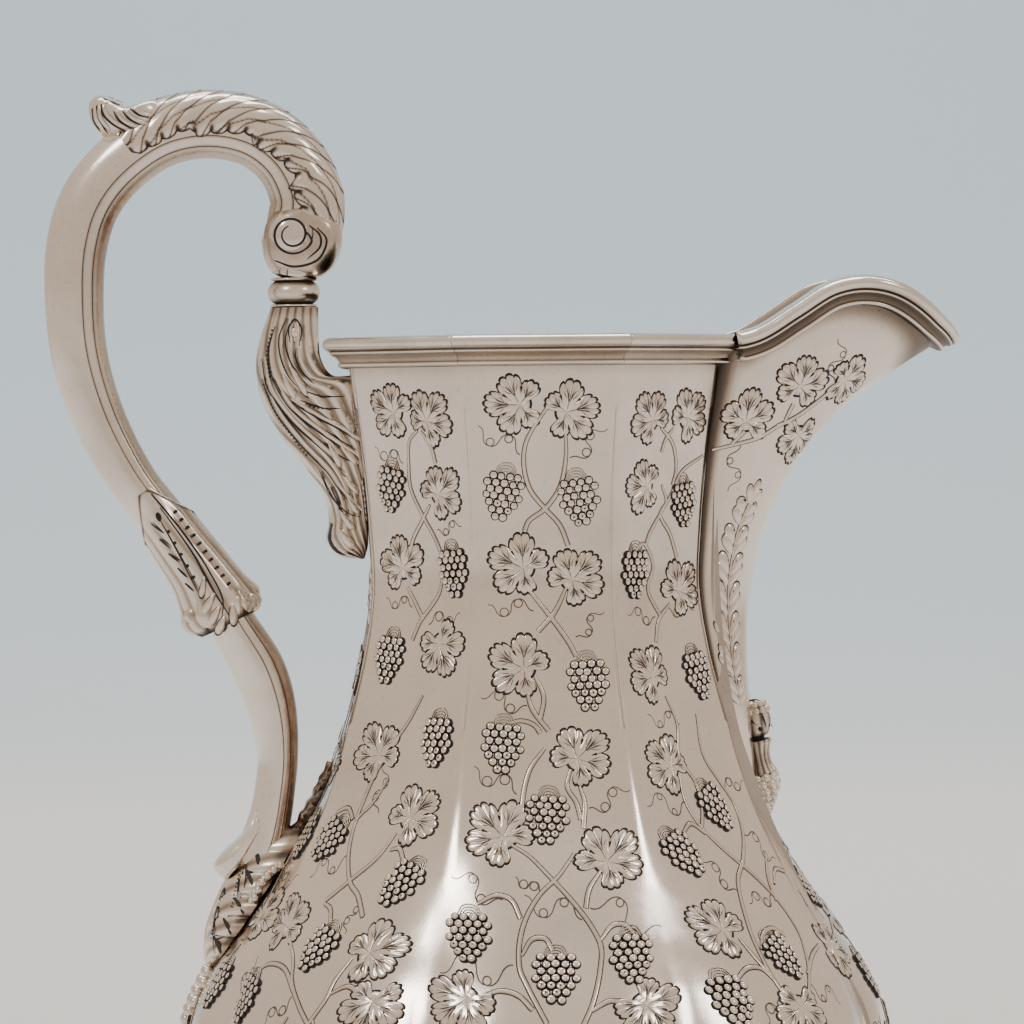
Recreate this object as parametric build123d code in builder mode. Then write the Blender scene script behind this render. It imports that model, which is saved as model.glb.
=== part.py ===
from build123d import *
import math
import os

# A lidless silver water pitcher: an eight-sided pear body with an applied spout,
# a scroll handle and a spreading foot. Every piece is soldered to its neighbours.
# Millimetres. The origin is the centre of the foot's resting plane, +Z is up,
# +X points to the spout and the handle is on -X.

# ---- driving dimensions -------------------------------------------------------

SIDES = 8
SIDE_ANGLE = 360 / SIDES
WALL = 1.0                 # raised sheet of the body, the spout and the foot
SCROLL_WALL = 1.3          # hollow cast handle
HANDLE_DEPTH = 12.0        # handle scrolls, measured across the pitcher
SOLDER_GAP = 0.06          # left for solder between the two scrolls
CLASP_GAP = 0.05           # left for solder where the clasp slips over the scrolls

FOOT_RIM_HEIGHT = 6.0
FOOT_RIM_CORNER = 58.0
FOOT_RIM_WIDTH = 7.0
FOOT_RIM_TOP_FILLET = 2.4
FOOT_RIM_LOW_FILLET = 0.8
# Foot dome: height, corner distance and face distance from the axis.
FOOT_DOME = [(6, 53, 50.6), (8.5, 50.5, 48.8), (11.5, 44.5, 43.6), (15, 37.6, 37.2), (20, 32.6, 32.6)]
FOOT_DOME_WALL = 1.5
FOOT_TOP = 20.0
COLLAR_TOP = 24.0
COLLAR_INNER = 27.0
COLLAR_OUTER = 35.0
COLLAR_FILLET = 1.6
BODY_BASE = 25.0
BODY_BASE_RADIUS = 34.0
NECK_TOP = 252.5

# Height, and the distance from the axis to a corner of the eight-sided body.
BODY_CORNERS = [
    (25, 34), (29.5, 43), (36, 55.5), (46, 70), (58, 81), (72, 85.3), (84, 83.8), (98, 77.8),
    (111, 70.2), (124, 63.3), (137, 57.2), (150, 52.6), (163, 49.3), (176, 46.4), (190, 44.3),
    (205, 44.7), (224, 46.2), (240, 48.3), (252.5, 50.2),
]
# Height, and the face's distance from the axis as a share of the corner's.
FACE_SHARE = [(25, 1.0), (48, 1.02), (98, 1.03), (120, 1.0), (140, 0.95), (155, 0.9265), (252.5, 0.9265)]

# Opening behind the spout, seen from the spout side: half its outline, and the planes it is cut between.
OPENING_HALF_OUTLINE = [(5, 148), (17, 172), (17, 253.5)]
OPENING_START = 30.0
OPENING_DEPTH = 40.0

# Neck moulding, from its foot up: low edge, high edge and corner distance from the axis.
NECK_STEPS = [(244.6, 246.4, 51.4), (246.4, 247.7, 50.7), (247.7, 248.8, 52.9), (248.8, 249.1, 51.6),
              (249.1, 252.5, 54.6)]
NECK_OVOLO_FILLET = 1.2

# Spout: height, reach of the keel, half width at the seam and half width of the bulge.
SPOUT_SECTIONS = [
    (134, 57.5, 2.4, 2.4), (146, 55.6, 8.5, 7.0), (158, 54.6, 15.0, 12.0), (170, 53.7, 17.4, 14.5),
    (184, 54.0, 17.0, 14.5), (197, 56.2, 17.0, 14.5), (208, 60.0, 17.2, 14.5), (219, 65.2, 17.5, 15.0),
    (229, 73.0, 18.0, 16.0), (238, 83.0, 18.5, 17.5), (245, 93.4, 19.0, 19.0), (251, 102.6, 19.5, 20.0),
    (258, 107.2, 20.0, 21.5), (270, 111.5, 20.5, 23.0),
]
SPOUT_ARCH = [(44, 252.2), (54, 254.2), (63, 259.6), (72.5, 265.3), (81.5, 266.8), (90.5, 264.7),
              (99.5, 258.5), (105, 253.2), (112, 245.5)]
SPOUT_RIM_STEPS = [(0.0, 3.6, 4.2), (3.6, 8.0, 2.4)]   # drop below the arch, and stand-out
SPOUT_REACH = 90.0         # past the moulding's corners, for cutting the gap that the spout fills
SPOUT_GAP_HEIGHT = 20.0
SPOUT_BURIED = 8.0         # how far the spout's solid form reaches back into the body
SPOUT_SEAM_OVERLAP = 0.4
BULGE_PLACE = 0.45         # where the spout is widest, as a share of its reach
BULGE_FULLNESS = 0.94
ARCH_HALF_WIDTH = 40.0

# Drop under the spout: it hangs along this sloping line on the spout side of the body.
DROP_TOP = (53.66, 160.95)
DROP_TIP = (58.6, 134.0)
CALYX_LENGTH = 9.4
CALYX_SECTIONS = [(0.0, 3.2), (3.0, 4.8), (6.6, 4.7), (9.4, 3.5)]     # distance down the drop, and radius
CALYX_BEADS = 14
CALYX_BEAD_RADIUS = 1.0
CALYX_BEAD_SPREAD = 4.3
COLLAR_LENGTH = 8.8
COLLAR_SECTIONS = [(0.0, 4.2), (1.2, 3.9), (4.2, 2.9), (7.2, 3.6), (8.8, 4.0)]
FLUTES = 12
FLUTE_RADIUS = 0.6
FLUTE_LENGTH = 6.6
FLUTE_SPREAD = 3.8
GRAPE_RADIUS = 1.9
GRAPE_ROWS = [(7, 3.0), (6, 2.6), (4, 1.5), (1, 0.0)]          # grapes in the row, and their spread
GRAPE_ROW_DROP = 2.1
GRAPE_ROW_TURN = 26.0
GRAPE_CORE_AT = 2.6
GRAPE_CORE_RADIUS = 2.6
GRAPE_CORE_LENGTH = 7.0

# Handle scrolls: reach (negative, away from the spout), height and width of each section.
UPPER_SCROLL = [
    (-58.6, 268.2, 11.4), (-57.6, 273.5, 14.6), (-56.6, 280.5, 17.6), (-56.0, 288, 17.2),
    (-60.2, 297.2, 16.4), (-68, 303.4, 16.0), (-79.2, 305.8, 15.8), (-91, 303.6, 15.6), (-102.2, 296, 15.4), (-109.2, 287, 15.4),
    (-112.6, 276, 15.2), (-113.3, 262, 14.6), (-112, 248.2, 14), (-107.3, 232.8, 13.2), (-99.4, 217.8, 12.2),
    (-91.8, 208, 11.8), (-84.8, 198.2, 11.4), (-79.2, 188.6, 11.2),
]
LOWER_SCROLL = [
    (-79.2, 188.6, 11.2), (-73.6, 179.2, 12.4), (-69, 171.2, 13.2), (-66.4, 164, 12.8), (-64.8, 156.6, 11.4),
    (-64.3, 148, 10.2), (-65.2, 139.6, 10.2), (-67.6, 132, 12.4), (-71, 125.2, 16.4),
]
VENT_AT = (-107.6, 280.6)
VENT_RADIUS = 0.8

KNOP_X = -58.8
KNOP_RADIUS = 6.6
KNOP_FILLET = 2.2
LOWER_PLATE = (260.6, 261.5, 5.9)      # low face, high face, radius
UPPER_PLATE = (267.3, 268.1, 5.8)

BRACKET_OUTER = [(-64.7, 260.6), (-67.3, 253.4), (-68.5, 246), (-67, 237.3), (-62.4, 228.8), (-56, 220.2),
                 (-51.6, 213), (-50.8, 207), (-51.6, 202.4), (-49, 198.6), (-43, 198)]
BRACKET_INNER = [(-43, 243.8), (-49.6, 243.8), (-52.2, 247.6), (-52.8, 254.5), (-52.8, 260.6)]
BRACKET_DEPTH = 13.0
BRACKET_FILLET = 2.2

TOP_LEAF_LIFT = 1.7
TOP_LEAF_OUTLINE = [(-106.5, 300.5), (-100, 302), (-94, 300.8), (-88, 304.5), (-82, 302.6), (-77, 305.4),
                    (-71.5, 301.2), (-67, 302.2), (-63, 296), (-59.6, 296), (-58.2, 289), (-54.6, 287.5),
                    (-54.6, 280), (-50.6, 276)]
TOP_LEAF_OUTSIDE = [(-42, 276), (-40, 300), (-60, 322), (-90, 326), (-109, 318)]
THUMB_CURL_AT = (-105.4, 307.6)
THUMB_CURL_RADIUS = 4.3
THUMB_CURL_LENGTH = 11.0

VOLUTE_AT = (-59.1, 278.8)
VOLUTE_STEPS = [(6.4, 7.4), (4.0, 8.4), (1.9, 9.2)]      # radius, and distance out from the mid plane

CLASP = [(-92.6, 209.2, 13.0), (-87.4, 201.6, 14.6), (-82.6, 194.6, 16.0), (-79.2, 188.8, 18.0),
         (-77.0, 184.6, 20.0), (-75.4, 181.6, 15.0)]
CLASP_DEPTH = 16.0

LOWER_LEAF_SIDE = [(-66, 126), (-72.5, 123.4), (-78, 118.2), (-81.2, 110.5), (-83.3, 104), (-84.6, 97.5),
                   (-70, 97.5)]
LOWER_LEAF_FRONT = [(0, 127), (8.5, 121), (7.4, 117), (9.4, 113), (7.2, 109.6), (8.2, 106), (5.4, 103),
                    (5.2, 99.8), (0, 97.5)]
LOWER_LEAF_HALF_DEPTH = 12.0
LOWER_GRAPE_COUNTS = (3, 4, 3, 2, 1)
LOWER_GRAPE_TOP = 95.2
LOWER_GRAPE_DROP = 2.5
LOWER_GRAPE_PITCH = 2.7
LOWER_GRAPE_RADIUS = 1.8
LOWER_GRAPE_LIFT = 0.5
BRANCH_LIFT = 2.6
BRANCH_SPAN = (130.0, 168.0)
BRANCH_FRONT = [(0, 166), (3.2, 160), (2.6, 155.5), (5.2, 151), (4.2, 147), (6.6, 142), (5.4, 136.5),
                (0, 132.5)]


# ---- shared geometry ----------------------------------------------------------

def smooth_value(stations, place):
    """The value at one place of a smooth curve through (place, value) stations."""
    last = len(stations) - 2
    index = max(0, min(last, sum(1 for station in stations if station[0] <= place) - 1))
    before = stations[max(index - 1, 0)]
    start = stations[index]
    end = stations[index + 1]
    after = stations[min(index + 2, len(stations) - 1)]
    span = end[0] - start[0]
    share = (place - start[0]) / span
    start_slope = (end[1] - before[1]) / (end[0] - before[0]) * span
    end_slope = (after[1] - start[1]) / (after[0] - start[0]) * span
    square = share * share
    cube = square * share
    return (start[1] * (2 * cube - 3 * square + 1) + start_slope * (cube - 2 * square + share)
            + end[1] * (3 * square - 2 * cube) + end_slope * (cube - square))


def straight_value(stations, place):
    """The value at one place of a straight-line graph through (place, value) stations."""
    for start, end in zip(stations, stations[1:]):
        if place <= end[0]:
            share = (place - start[0]) / (end[0] - start[0])
            return start[1] + share * (end[1] - start[1])
    return stations[-1][1]


def corner_at(height):
    """Distance from the axis to a body corner at one height."""
    return smooth_value(BODY_CORNERS, height)


def face_at(height):
    """Distance from the axis to the middle of a body face at one height."""
    return corner_at(height) * straight_value(FACE_SHARE, height)


def around(radius, angle):
    """A point at one radius and angle about the axis."""
    return (radius * math.cos(math.radians(angle)), radius * math.sin(math.radians(angle)))


def lobed_solid(sections):
    """A solid through eight-sided sections of (height, corner distance, face distance)."""
    with BuildPart() as lobed:
        for height, corner, face in sections:
            with BuildSketch(Plane.XY.offset(height)):
                with BuildLine():
                    for side in range(SIDES):
                        middle = side * SIDE_ANGLE
                        ThreePointArc(around(corner, middle - SIDE_ANGLE / 2), around(face, middle),
                                      around(corner, middle + SIDE_ANGLE / 2))
                make_face()
        loft()
    return lobed.part


def body_solid(growth, low=BODY_BASE, high=NECK_TOP):
    """The body as if it were solid, grown outward by a given amount, between two heights."""
    heights = [low] + [station[0] for station in BODY_CORNERS if low < station[0] < high] + [high]
    return lobed_solid([(height, corner_at(height) + growth, face_at(height) + growth) for height in heights])


def keel_slope(index):
    """How far the spout's keel runs out for each millimetre that it rises, at one section."""
    low = SPOUT_SECTIONS[max(index - 1, 0)]
    high = SPOUT_SECTIONS[min(index + 1, len(SPOUT_SECTIONS) - 1)]
    return (high[1] - low[1]) / (high[0] - low[0])


def spout_solid(growth):
    """The spout as if it were solid, with its back buried in the body, grown outward."""
    with BuildPart() as spout:
        for index, (height, keel, seam_half, bulge_half) in enumerate(SPOUT_SECTIONS):
            back = face_at(min(height, NECK_TOP)) - SPOUT_BURIED
            seam = face_at(min(height, NECK_TOP)) - SPOUT_SEAM_OVERLAP
            run = growth * math.hypot(1, keel_slope(index))
            tip = keel + run
            bulge = seam + BULGE_PLACE * (tip - seam)
            half = seam_half + growth
            wide = (bulge_half + growth) * BULGE_FULLNESS
            with BuildSketch(Plane.XY.offset(height)):
                with BuildLine():
                    Spline((seam, -half), (bulge, -wide), (tip, 0), (bulge, wide), (seam, half))
                    Polyline((seam, half), (back, half), (back, -half), (seam, -half))
                make_face()
        loft()
    return spout.part


def under_arch(drop, half_width):
    """Everything under the spout's arch, lowered by a given drop."""
    with BuildPart() as under:
        with BuildSketch(Plane.XZ):
            with BuildLine():
                arch = [(reach, height - drop) for reach, height in SPOUT_ARCH]
                Spline(*arch)
                Polyline(arch[-1], (arch[-1][0], BODY_BASE), (0, BODY_BASE), (0, arch[0][1]), arch[0])
            make_face()
        extrude(amount=half_width, both=True)
    return under.part


def along(stations, index):
    """The plane square to a scroll's centre line at one of its stations."""
    before = stations[max(index - 1, 0)]
    after = stations[min(index + 1, len(stations) - 1)]
    reach, height = stations[index][:2]
    heading = (after[0] - before[0], 0, after[1] - before[1])
    return Plane(origin=(reach, 0, height), x_dir=(0, 1, 0), z_dir=heading)


def scroll_solid(stations, depth, growth):
    """A solid scroll with oval sections, grown outward by a given amount."""
    with BuildPart() as scroll:
        for index, station in enumerate(stations):
            with BuildSketch(along(stations, index)):
                Ellipse(depth / 2 + growth, station[2] / 2 + growth)
        loft()
    return scroll.part


def side_outline(points, half_width):
    """A straight-edged outline seen from the side, with thickness both ways from the mid plane."""
    with BuildPart() as side:
        with BuildSketch(Plane.XZ):
            with BuildLine():
                Polyline(*points, close=True)
            make_face()
        extrude(amount=half_width, both=True)
    return side.part


def front_outline(half_points):
    """A symmetric outline seen from the handle side, run right through the handle half of the pitcher."""
    right = [(across, height) for across, height in half_points]
    left = [(-across, height) for across, height in reversed(half_points[1:-1])]
    with BuildPart() as front:
        with BuildSketch(Plane.YZ):
            with BuildLine():
                Polyline(*right, *left, close=True)
            make_face()
        extrude(amount=-2 * FOOT_RIM_CORNER)
    return front.part


def ring(low, high, inner, outer):
    """A plain round ring about the axis."""
    with BuildPart() as washer:
        with BuildSketch(Plane.XY.offset(low)):
            Circle(outer)
            Circle(inner, mode=Mode.SUBTRACT)
        extrude(amount=high - low)
    return washer.part


def biggest(part):
    """The largest solid of a part, without the slivers that a cut can leave."""
    with BuildPart() as kept:
        add(part.solids().sort_by(SortBy.VOLUME)[-1])
    return kept.part


BODY_OUTSIDE = body_solid(0)
SPOUT_OUTSIDE = spout_solid(0)
UPPER_OUTSIDE = scroll_solid(UPPER_SCROLL, HANDLE_DEPTH, 0)
UPPER_CLEARANCE = scroll_solid(UPPER_SCROLL, HANDLE_DEPTH, SOLDER_GAP)
LOWER_OUTSIDE = scroll_solid(LOWER_SCROLL, HANDLE_DEPTH, 0)
PIECES = {}


def keep(name, part):
    """Label one finished piece and note it for export."""
    part.label = name
    PIECES[name] = part


# ---- foot ---------------------------------------------------------------------

def make_foot():
    """The foot: a stepped rim, a domed shell and a collar under the body."""
    with BuildPart() as foot_rim:
        with BuildSketch():
            RegularPolygon(FOOT_RIM_CORNER, SIDES, rotation=SIDE_ANGLE / 2)
        extrude(amount=FOOT_RIM_HEIGHT)
        fillet(foot_rim.faces().sort_by(Axis.Z)[-1].edges(), radius=FOOT_RIM_TOP_FILLET)
        fillet(foot_rim.faces().sort_by(Axis.Z)[0].edges(), radius=FOOT_RIM_LOW_FILLET)
        with BuildSketch():
            RegularPolygon(FOOT_RIM_CORNER - FOOT_RIM_WIDTH, SIDES, rotation=SIDE_ANGLE / 2)
        extrude(amount=FOOT_RIM_HEIGHT, mode=Mode.SUBTRACT)
    keep("foot_rim", foot_rim.part)

    inside = [(height, corner - FOOT_DOME_WALL, face - FOOT_DOME_WALL) for height, corner, face in FOOT_DOME]
    with BuildPart() as foot_dome:
        add(lobed_solid(FOOT_DOME))
        add(lobed_solid(inside), mode=Mode.SUBTRACT)
    keep("foot_dome", foot_dome.part)

    with BuildPart() as foot_collar:
        add(ring(FOOT_TOP, COLLAR_TOP, COLLAR_INNER, COLLAR_OUTER))
        outer_edges = foot_collar.edges().filter_by(GeomType.CIRCLE).group_by(SortBy.RADIUS)[-1]
        fillet(outer_edges, radius=COLLAR_FILLET)
    keep("foot_collar", foot_collar.part)


# ---- body ---------------------------------------------------------------------

def make_body():
    """The raised body, open at the top and behind the spout, and the plate soldered under it."""
    with BuildPart() as body_shell:
        add(BODY_OUTSIDE)
        add(body_solid(-WALL), mode=Mode.SUBTRACT)
        with BuildSketch(Plane.YZ.offset(OPENING_START)):
            mirrored = [(-across, height) for across, height in reversed(OPENING_HALF_OUTLINE)]
            with BuildLine():
                Polyline(*OPENING_HALF_OUTLINE, *mirrored, close=True)
            make_face()
        extrude(amount=OPENING_DEPTH, mode=Mode.SUBTRACT)
    keep("body_shell", body_shell.part)

    with BuildPart() as body_bottom:
        with BuildSketch(Plane.XY.offset(COLLAR_TOP)):
            Circle(BODY_BASE_RADIUS)
        extrude(amount=BODY_BASE - COLLAR_TOP)
    keep("body_bottom", body_bottom.part)

    with BuildPart() as neck_rim_moulding:
        for low, high, corner in NECK_STEPS:
            with BuildSketch(Plane.XY.offset(low)):
                RegularPolygon(corner, SIDES, rotation=SIDE_ANGLE / 2)
            extrude(amount=high - low)
        fillet(neck_rim_moulding.faces().sort_by(Axis.Z)[-1].edges(), radius=NECK_OVOLO_FILLET)
        add(BODY_OUTSIDE, mode=Mode.SUBTRACT)
        with BuildSketch(Plane.XY.offset(NECK_STEPS[0][0] - 1)):
            with BuildLine():
                Polyline((0, 0), around(SPOUT_REACH, SIDE_ANGLE / 2), around(SPOUT_REACH, -SIDE_ANGLE / 2),
                         close=True)
            make_face()
        extrude(amount=SPOUT_GAP_HEIGHT, mode=Mode.SUBTRACT)
    keep("neck_rim_moulding", neck_rim_moulding.part)


# ---- spout --------------------------------------------------------------------

def make_spout():
    """The raised spout shell and the moulding that runs round its arched edge."""
    with BuildPart() as spout_shell:
        add(SPOUT_OUTSIDE)
        add(spout_solid(-WALL), mode=Mode.SUBTRACT)
        add(BODY_OUTSIDE, mode=Mode.SUBTRACT)
        add(PIECES["neck_rim_moulding"], mode=Mode.SUBTRACT)
        add(under_arch(0, ARCH_HALF_WIDTH), mode=Mode.INTERSECT)
    keep("spout_shell", biggest(spout_shell.part))

    with BuildPart() as spout_rim_moulding:
        for top, bottom, stand_out in SPOUT_RIM_STEPS:
            with BuildPart(mode=Mode.PRIVATE) as step:
                add(spout_solid(stand_out))
                add(under_arch(top, ARCH_HALF_WIDTH), mode=Mode.INTERSECT)
                add(under_arch(bottom, ARCH_HALF_WIDTH + 1), mode=Mode.SUBTRACT)
            add(step.part)
        add(SPOUT_OUTSIDE, mode=Mode.SUBTRACT)
        add(BODY_OUTSIDE, mode=Mode.SUBTRACT)
        add(PIECES["neck_rim_moulding"], mode=Mode.SUBTRACT)
    keep("spout_rim_moulding", biggest(spout_rim_moulding.part))


def make_spout_drop():
    """The cast drop under the spout: a calyx, a fluted collar and a bunch of grapes."""
    heading = (DROP_TIP[0] - DROP_TOP[0], 0, DROP_TIP[1] - DROP_TOP[1])
    hang = Plane(origin=(DROP_TOP[0], 0, DROP_TOP[1]), x_dir=(0, 1, 0), z_dir=heading)

    with BuildPart() as spout_calyx:
        for offset, radius in CALYX_SECTIONS:
            with BuildSketch(hang.offset(offset)):
                Circle(radius)
        loft()
        with Locations(hang.offset(CALYX_SECTIONS[1][0])):
            with PolarLocations(CALYX_BEAD_SPREAD, CALYX_BEADS):
                Sphere(CALYX_BEAD_RADIUS)
        add(BODY_OUTSIDE, mode=Mode.SUBTRACT)
        add(SPOUT_OUTSIDE, mode=Mode.SUBTRACT)
    keep("spout_calyx", spout_calyx.part)

    with BuildPart() as spout_fluted_collar:
        collar = hang.offset(CALYX_LENGTH)
        for offset, radius in COLLAR_SECTIONS:
            with BuildSketch(collar.offset(offset)):
                Circle(radius)
        loft()
        with Locations(collar.offset(COLLAR_LENGTH / 2)):
            with PolarLocations(FLUTE_SPREAD, FLUTES):
                Cylinder(FLUTE_RADIUS, FLUTE_LENGTH, mode=Mode.SUBTRACT)
        add(BODY_OUTSIDE, mode=Mode.SUBTRACT)
        add(SPOUT_OUTSIDE, mode=Mode.SUBTRACT)
        add(PIECES["spout_calyx"], mode=Mode.SUBTRACT)
    keep("spout_fluted_collar", biggest(spout_fluted_collar.part))

    with BuildPart() as spout_grape_drop:
        bunch = hang.offset(CALYX_LENGTH + COLLAR_LENGTH + GRAPE_RADIUS)
        for row, (count, spread) in enumerate(GRAPE_ROWS):
            with Locations(bunch.offset(row * GRAPE_ROW_DROP)):
                with PolarLocations(spread, count, start_angle=row * GRAPE_ROW_TURN):
                    Sphere(GRAPE_RADIUS)
        with Locations(bunch.offset(GRAPE_CORE_AT)):
            Cylinder(GRAPE_CORE_RADIUS, GRAPE_CORE_LENGTH)
        add(BODY_OUTSIDE, mode=Mode.SUBTRACT)
        add(SPOUT_OUTSIDE, mode=Mode.SUBTRACT)
        add(PIECES["spout_fluted_collar"], mode=Mode.SUBTRACT)
    keep("spout_grape_drop", biggest(spout_grape_drop.part))


# ---- handle -------------------------------------------------------------------

def make_scroll_halves(name, stations, outside, blockers):
    """Two hollow half scrolls, soldered along the pitcher's mid plane."""
    with BuildPart() as scroll:
        add(outside)
        add(scroll_solid(stations, HANDLE_DEPTH, -SCROLL_WALL), mode=Mode.SUBTRACT)
        for blocker in blockers:
            add(blocker, mode=Mode.SUBTRACT)
    for side, half in (("right", Keep.TOP), ("left", Keep.BOTTOM)):
        with BuildPart() as half_scroll:
            add(scroll.part)
            split(bisect_by=Plane.XZ, keep=half)
            if name == "handle_upper_scroll" and side == "right":
                with Locations(Plane(origin=(VENT_AT[0], 0, VENT_AT[1]), z_dir=(0, -1, 0))):
                    Cylinder(VENT_RADIUS, HANDLE_DEPTH, mode=Mode.SUBTRACT)
        keep(f"{name}_{side}", biggest(half_scroll.part))


def make_handle_scrolls():
    """The upper C-scroll and the lower reversed scroll that lands on the belly."""
    make_scroll_halves("handle_upper_scroll", UPPER_SCROLL, UPPER_OUTSIDE,
                       [PIECES["handle_knop_upper_plate"]])
    make_scroll_halves("handle_lower_scroll", LOWER_SCROLL, LOWER_OUTSIDE,
                       [BODY_OUTSIDE, UPPER_CLEARANCE])


def make_handle_top():
    """The acanthus leaf over the scroll's crown, with its thumb curl, and the two side volutes."""
    with BuildPart() as handle_top_leaf:
        add(scroll_solid(UPPER_SCROLL, HANDLE_DEPTH, TOP_LEAF_LIFT))
        add(side_outline(TOP_LEAF_OUTLINE + TOP_LEAF_OUTSIDE, HANDLE_DEPTH), mode=Mode.INTERSECT)
        with Locations(Plane(origin=(THUMB_CURL_AT[0], 0, THUMB_CURL_AT[1]), z_dir=(0, 1, 0))):
            Cylinder(THUMB_CURL_RADIUS, THUMB_CURL_LENGTH)
        add(UPPER_OUTSIDE, mode=Mode.SUBTRACT)
    keep("handle_top_leaf", biggest(handle_top_leaf.part))

    for side, direction in (("right", -1), ("left", 1)):
        with BuildPart() as volute:
            for radius, reach in VOLUTE_STEPS:
                with BuildSketch(Plane(origin=(VOLUTE_AT[0], 0, VOLUTE_AT[1]), z_dir=(0, direction, 0))):
                    Circle(radius)
                extrude(amount=reach)
            add(UPPER_OUTSIDE, mode=Mode.SUBTRACT)
            add(PIECES["handle_top_leaf"], mode=Mode.SUBTRACT)
        keep(f"handle_volute_{side}", biggest(volute.part))


def make_knop():
    """The turned knop between two thin plates, under the scroll's inner end."""
    with BuildPart() as handle_knop:
        with BuildSketch(Plane.XY.offset(LOWER_PLATE[1])):
            with Locations((KNOP_X, 0)):
                Circle(KNOP_RADIUS)
        extrude(amount=UPPER_PLATE[0] - LOWER_PLATE[1])
        fillet(handle_knop.edges().filter_by(GeomType.CIRCLE), radius=KNOP_FILLET)
    keep("handle_knop", handle_knop.part)

    for name, (low, high, radius) in (("lower", LOWER_PLATE), ("upper", UPPER_PLATE)):
        with BuildPart() as plate:
            with BuildSketch(Plane.XY.offset(low)):
                with Locations((KNOP_X, 0)):
                    Circle(radius)
            extrude(amount=high - low)
        keep(f"handle_knop_{name}_plate", plate.part)


def make_bracket():
    """The cast acanthus bracket that carries the knop and is soldered to the neck."""
    with BuildPart() as handle_bracket:
        with BuildSketch(Plane.XZ):
            with BuildLine():
                Spline(*BRACKET_OUTER)
                Polyline(BRACKET_OUTER[-1], BRACKET_INNER[0])
                Spline(*BRACKET_INNER)
                Polyline(BRACKET_INNER[-1], BRACKET_OUTER[0])
            make_face()
        extrude(amount=BRACKET_DEPTH / 2, both=True)
        sides = handle_bracket.faces().filter_by(Axis.Y)
        fillet(sides.edges().filter_by(GeomType.BSPLINE), radius=BRACKET_FILLET)
        add(BODY_OUTSIDE, mode=Mode.SUBTRACT)
        add(PIECES["neck_rim_moulding"], mode=Mode.SUBTRACT)
    keep("handle_bracket", biggest(handle_bracket.part))


def make_clasp():
    """The leaf clasp that hides the joint of the two scrolls."""
    with BuildPart() as handle_mid_clasp:
        add(scroll_solid(CLASP, CLASP_DEPTH, 0))
        joint = UPPER_SCROLL[-4:] + LOWER_SCROLL[1:4]
        add(scroll_solid(joint, HANDLE_DEPTH, SOLDER_GAP), mode=Mode.SUBTRACT)
        add(scroll_solid(LOWER_SCROLL, HANDLE_DEPTH, CLASP_GAP), mode=Mode.SUBTRACT)
        add(scroll_solid(UPPER_SCROLL, HANDLE_DEPTH, CLASP_GAP), mode=Mode.SUBTRACT)
    keep("handle_mid_clasp", biggest(handle_mid_clasp.part))


def make_lower_ornament():
    """The leaf and grapes below the handle's foot, and the leafy branch above it."""
    with BuildPart() as handle_lower_leaf:
        add(side_outline(LOWER_LEAF_SIDE, LOWER_LEAF_HALF_DEPTH))
        add(front_outline(LOWER_LEAF_FRONT), mode=Mode.INTERSECT)
        add(BODY_OUTSIDE, mode=Mode.SUBTRACT)
        add(LOWER_OUTSIDE, mode=Mode.SUBTRACT)
    keep("handle_lower_leaf", biggest(handle_lower_leaf.part))

    with BuildPart() as handle_lower_grapes:
        for row, count in enumerate(LOWER_GRAPE_COUNTS):
            height = LOWER_GRAPE_TOP - row * LOWER_GRAPE_DROP
            for column in range(count):
                across = (column - (count - 1) / 2) * LOWER_GRAPE_PITCH
                with Locations((-face_at(height) - LOWER_GRAPE_LIFT, across, height)):
                    Sphere(LOWER_GRAPE_RADIUS)
        add(BODY_OUTSIDE, mode=Mode.SUBTRACT)
        add(PIECES["handle_lower_leaf"], mode=Mode.SUBTRACT)
    keep("handle_lower_grapes", biggest(handle_lower_grapes.part))

    with BuildPart() as handle_branch_leaf:
        add(body_solid(BRANCH_LIFT, low=BRANCH_SPAN[0], high=BRANCH_SPAN[1]))
        add(front_outline(BRANCH_FRONT), mode=Mode.INTERSECT)
        add(BODY_OUTSIDE, mode=Mode.SUBTRACT)
        add(LOWER_OUTSIDE, mode=Mode.SUBTRACT)
    keep("handle_branch_leaf", biggest(handle_branch_leaf.part))


def main():
    """Make every piece and write each one to its own STEP file."""
    os.makedirs("parts", exist_ok=True)
    make_foot()
    make_body()
    make_spout()
    make_spout_drop()
    make_knop()
    make_handle_scrolls()
    make_handle_top()
    make_bracket()
    make_clasp()
    make_lower_ornament()
    for piece_name, piece in PIECES.items():
        export_step(piece, f"parts/{piece_name}.step")


main()
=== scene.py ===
import math
import random

import bpy
import numpy as np
from mathutils import Matrix, Vector


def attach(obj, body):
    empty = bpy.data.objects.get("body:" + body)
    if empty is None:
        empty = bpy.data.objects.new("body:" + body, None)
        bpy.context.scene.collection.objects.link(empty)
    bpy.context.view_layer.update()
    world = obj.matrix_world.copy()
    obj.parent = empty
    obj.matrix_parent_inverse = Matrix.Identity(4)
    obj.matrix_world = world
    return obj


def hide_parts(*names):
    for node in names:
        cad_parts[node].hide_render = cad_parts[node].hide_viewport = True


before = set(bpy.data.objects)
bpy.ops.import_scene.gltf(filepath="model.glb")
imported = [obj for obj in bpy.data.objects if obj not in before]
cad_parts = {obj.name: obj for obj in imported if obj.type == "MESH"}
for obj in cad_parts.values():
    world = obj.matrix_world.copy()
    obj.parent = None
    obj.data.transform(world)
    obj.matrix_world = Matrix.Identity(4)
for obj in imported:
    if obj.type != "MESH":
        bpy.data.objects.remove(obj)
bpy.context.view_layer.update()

# Lengths in this script are millimetres in the CAD frame until Patchwork.build scales them to metres.
MM = 0.001
SIDES = 8
HALF_SIDE = math.pi / SIDES
WALL = 1.0

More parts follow.
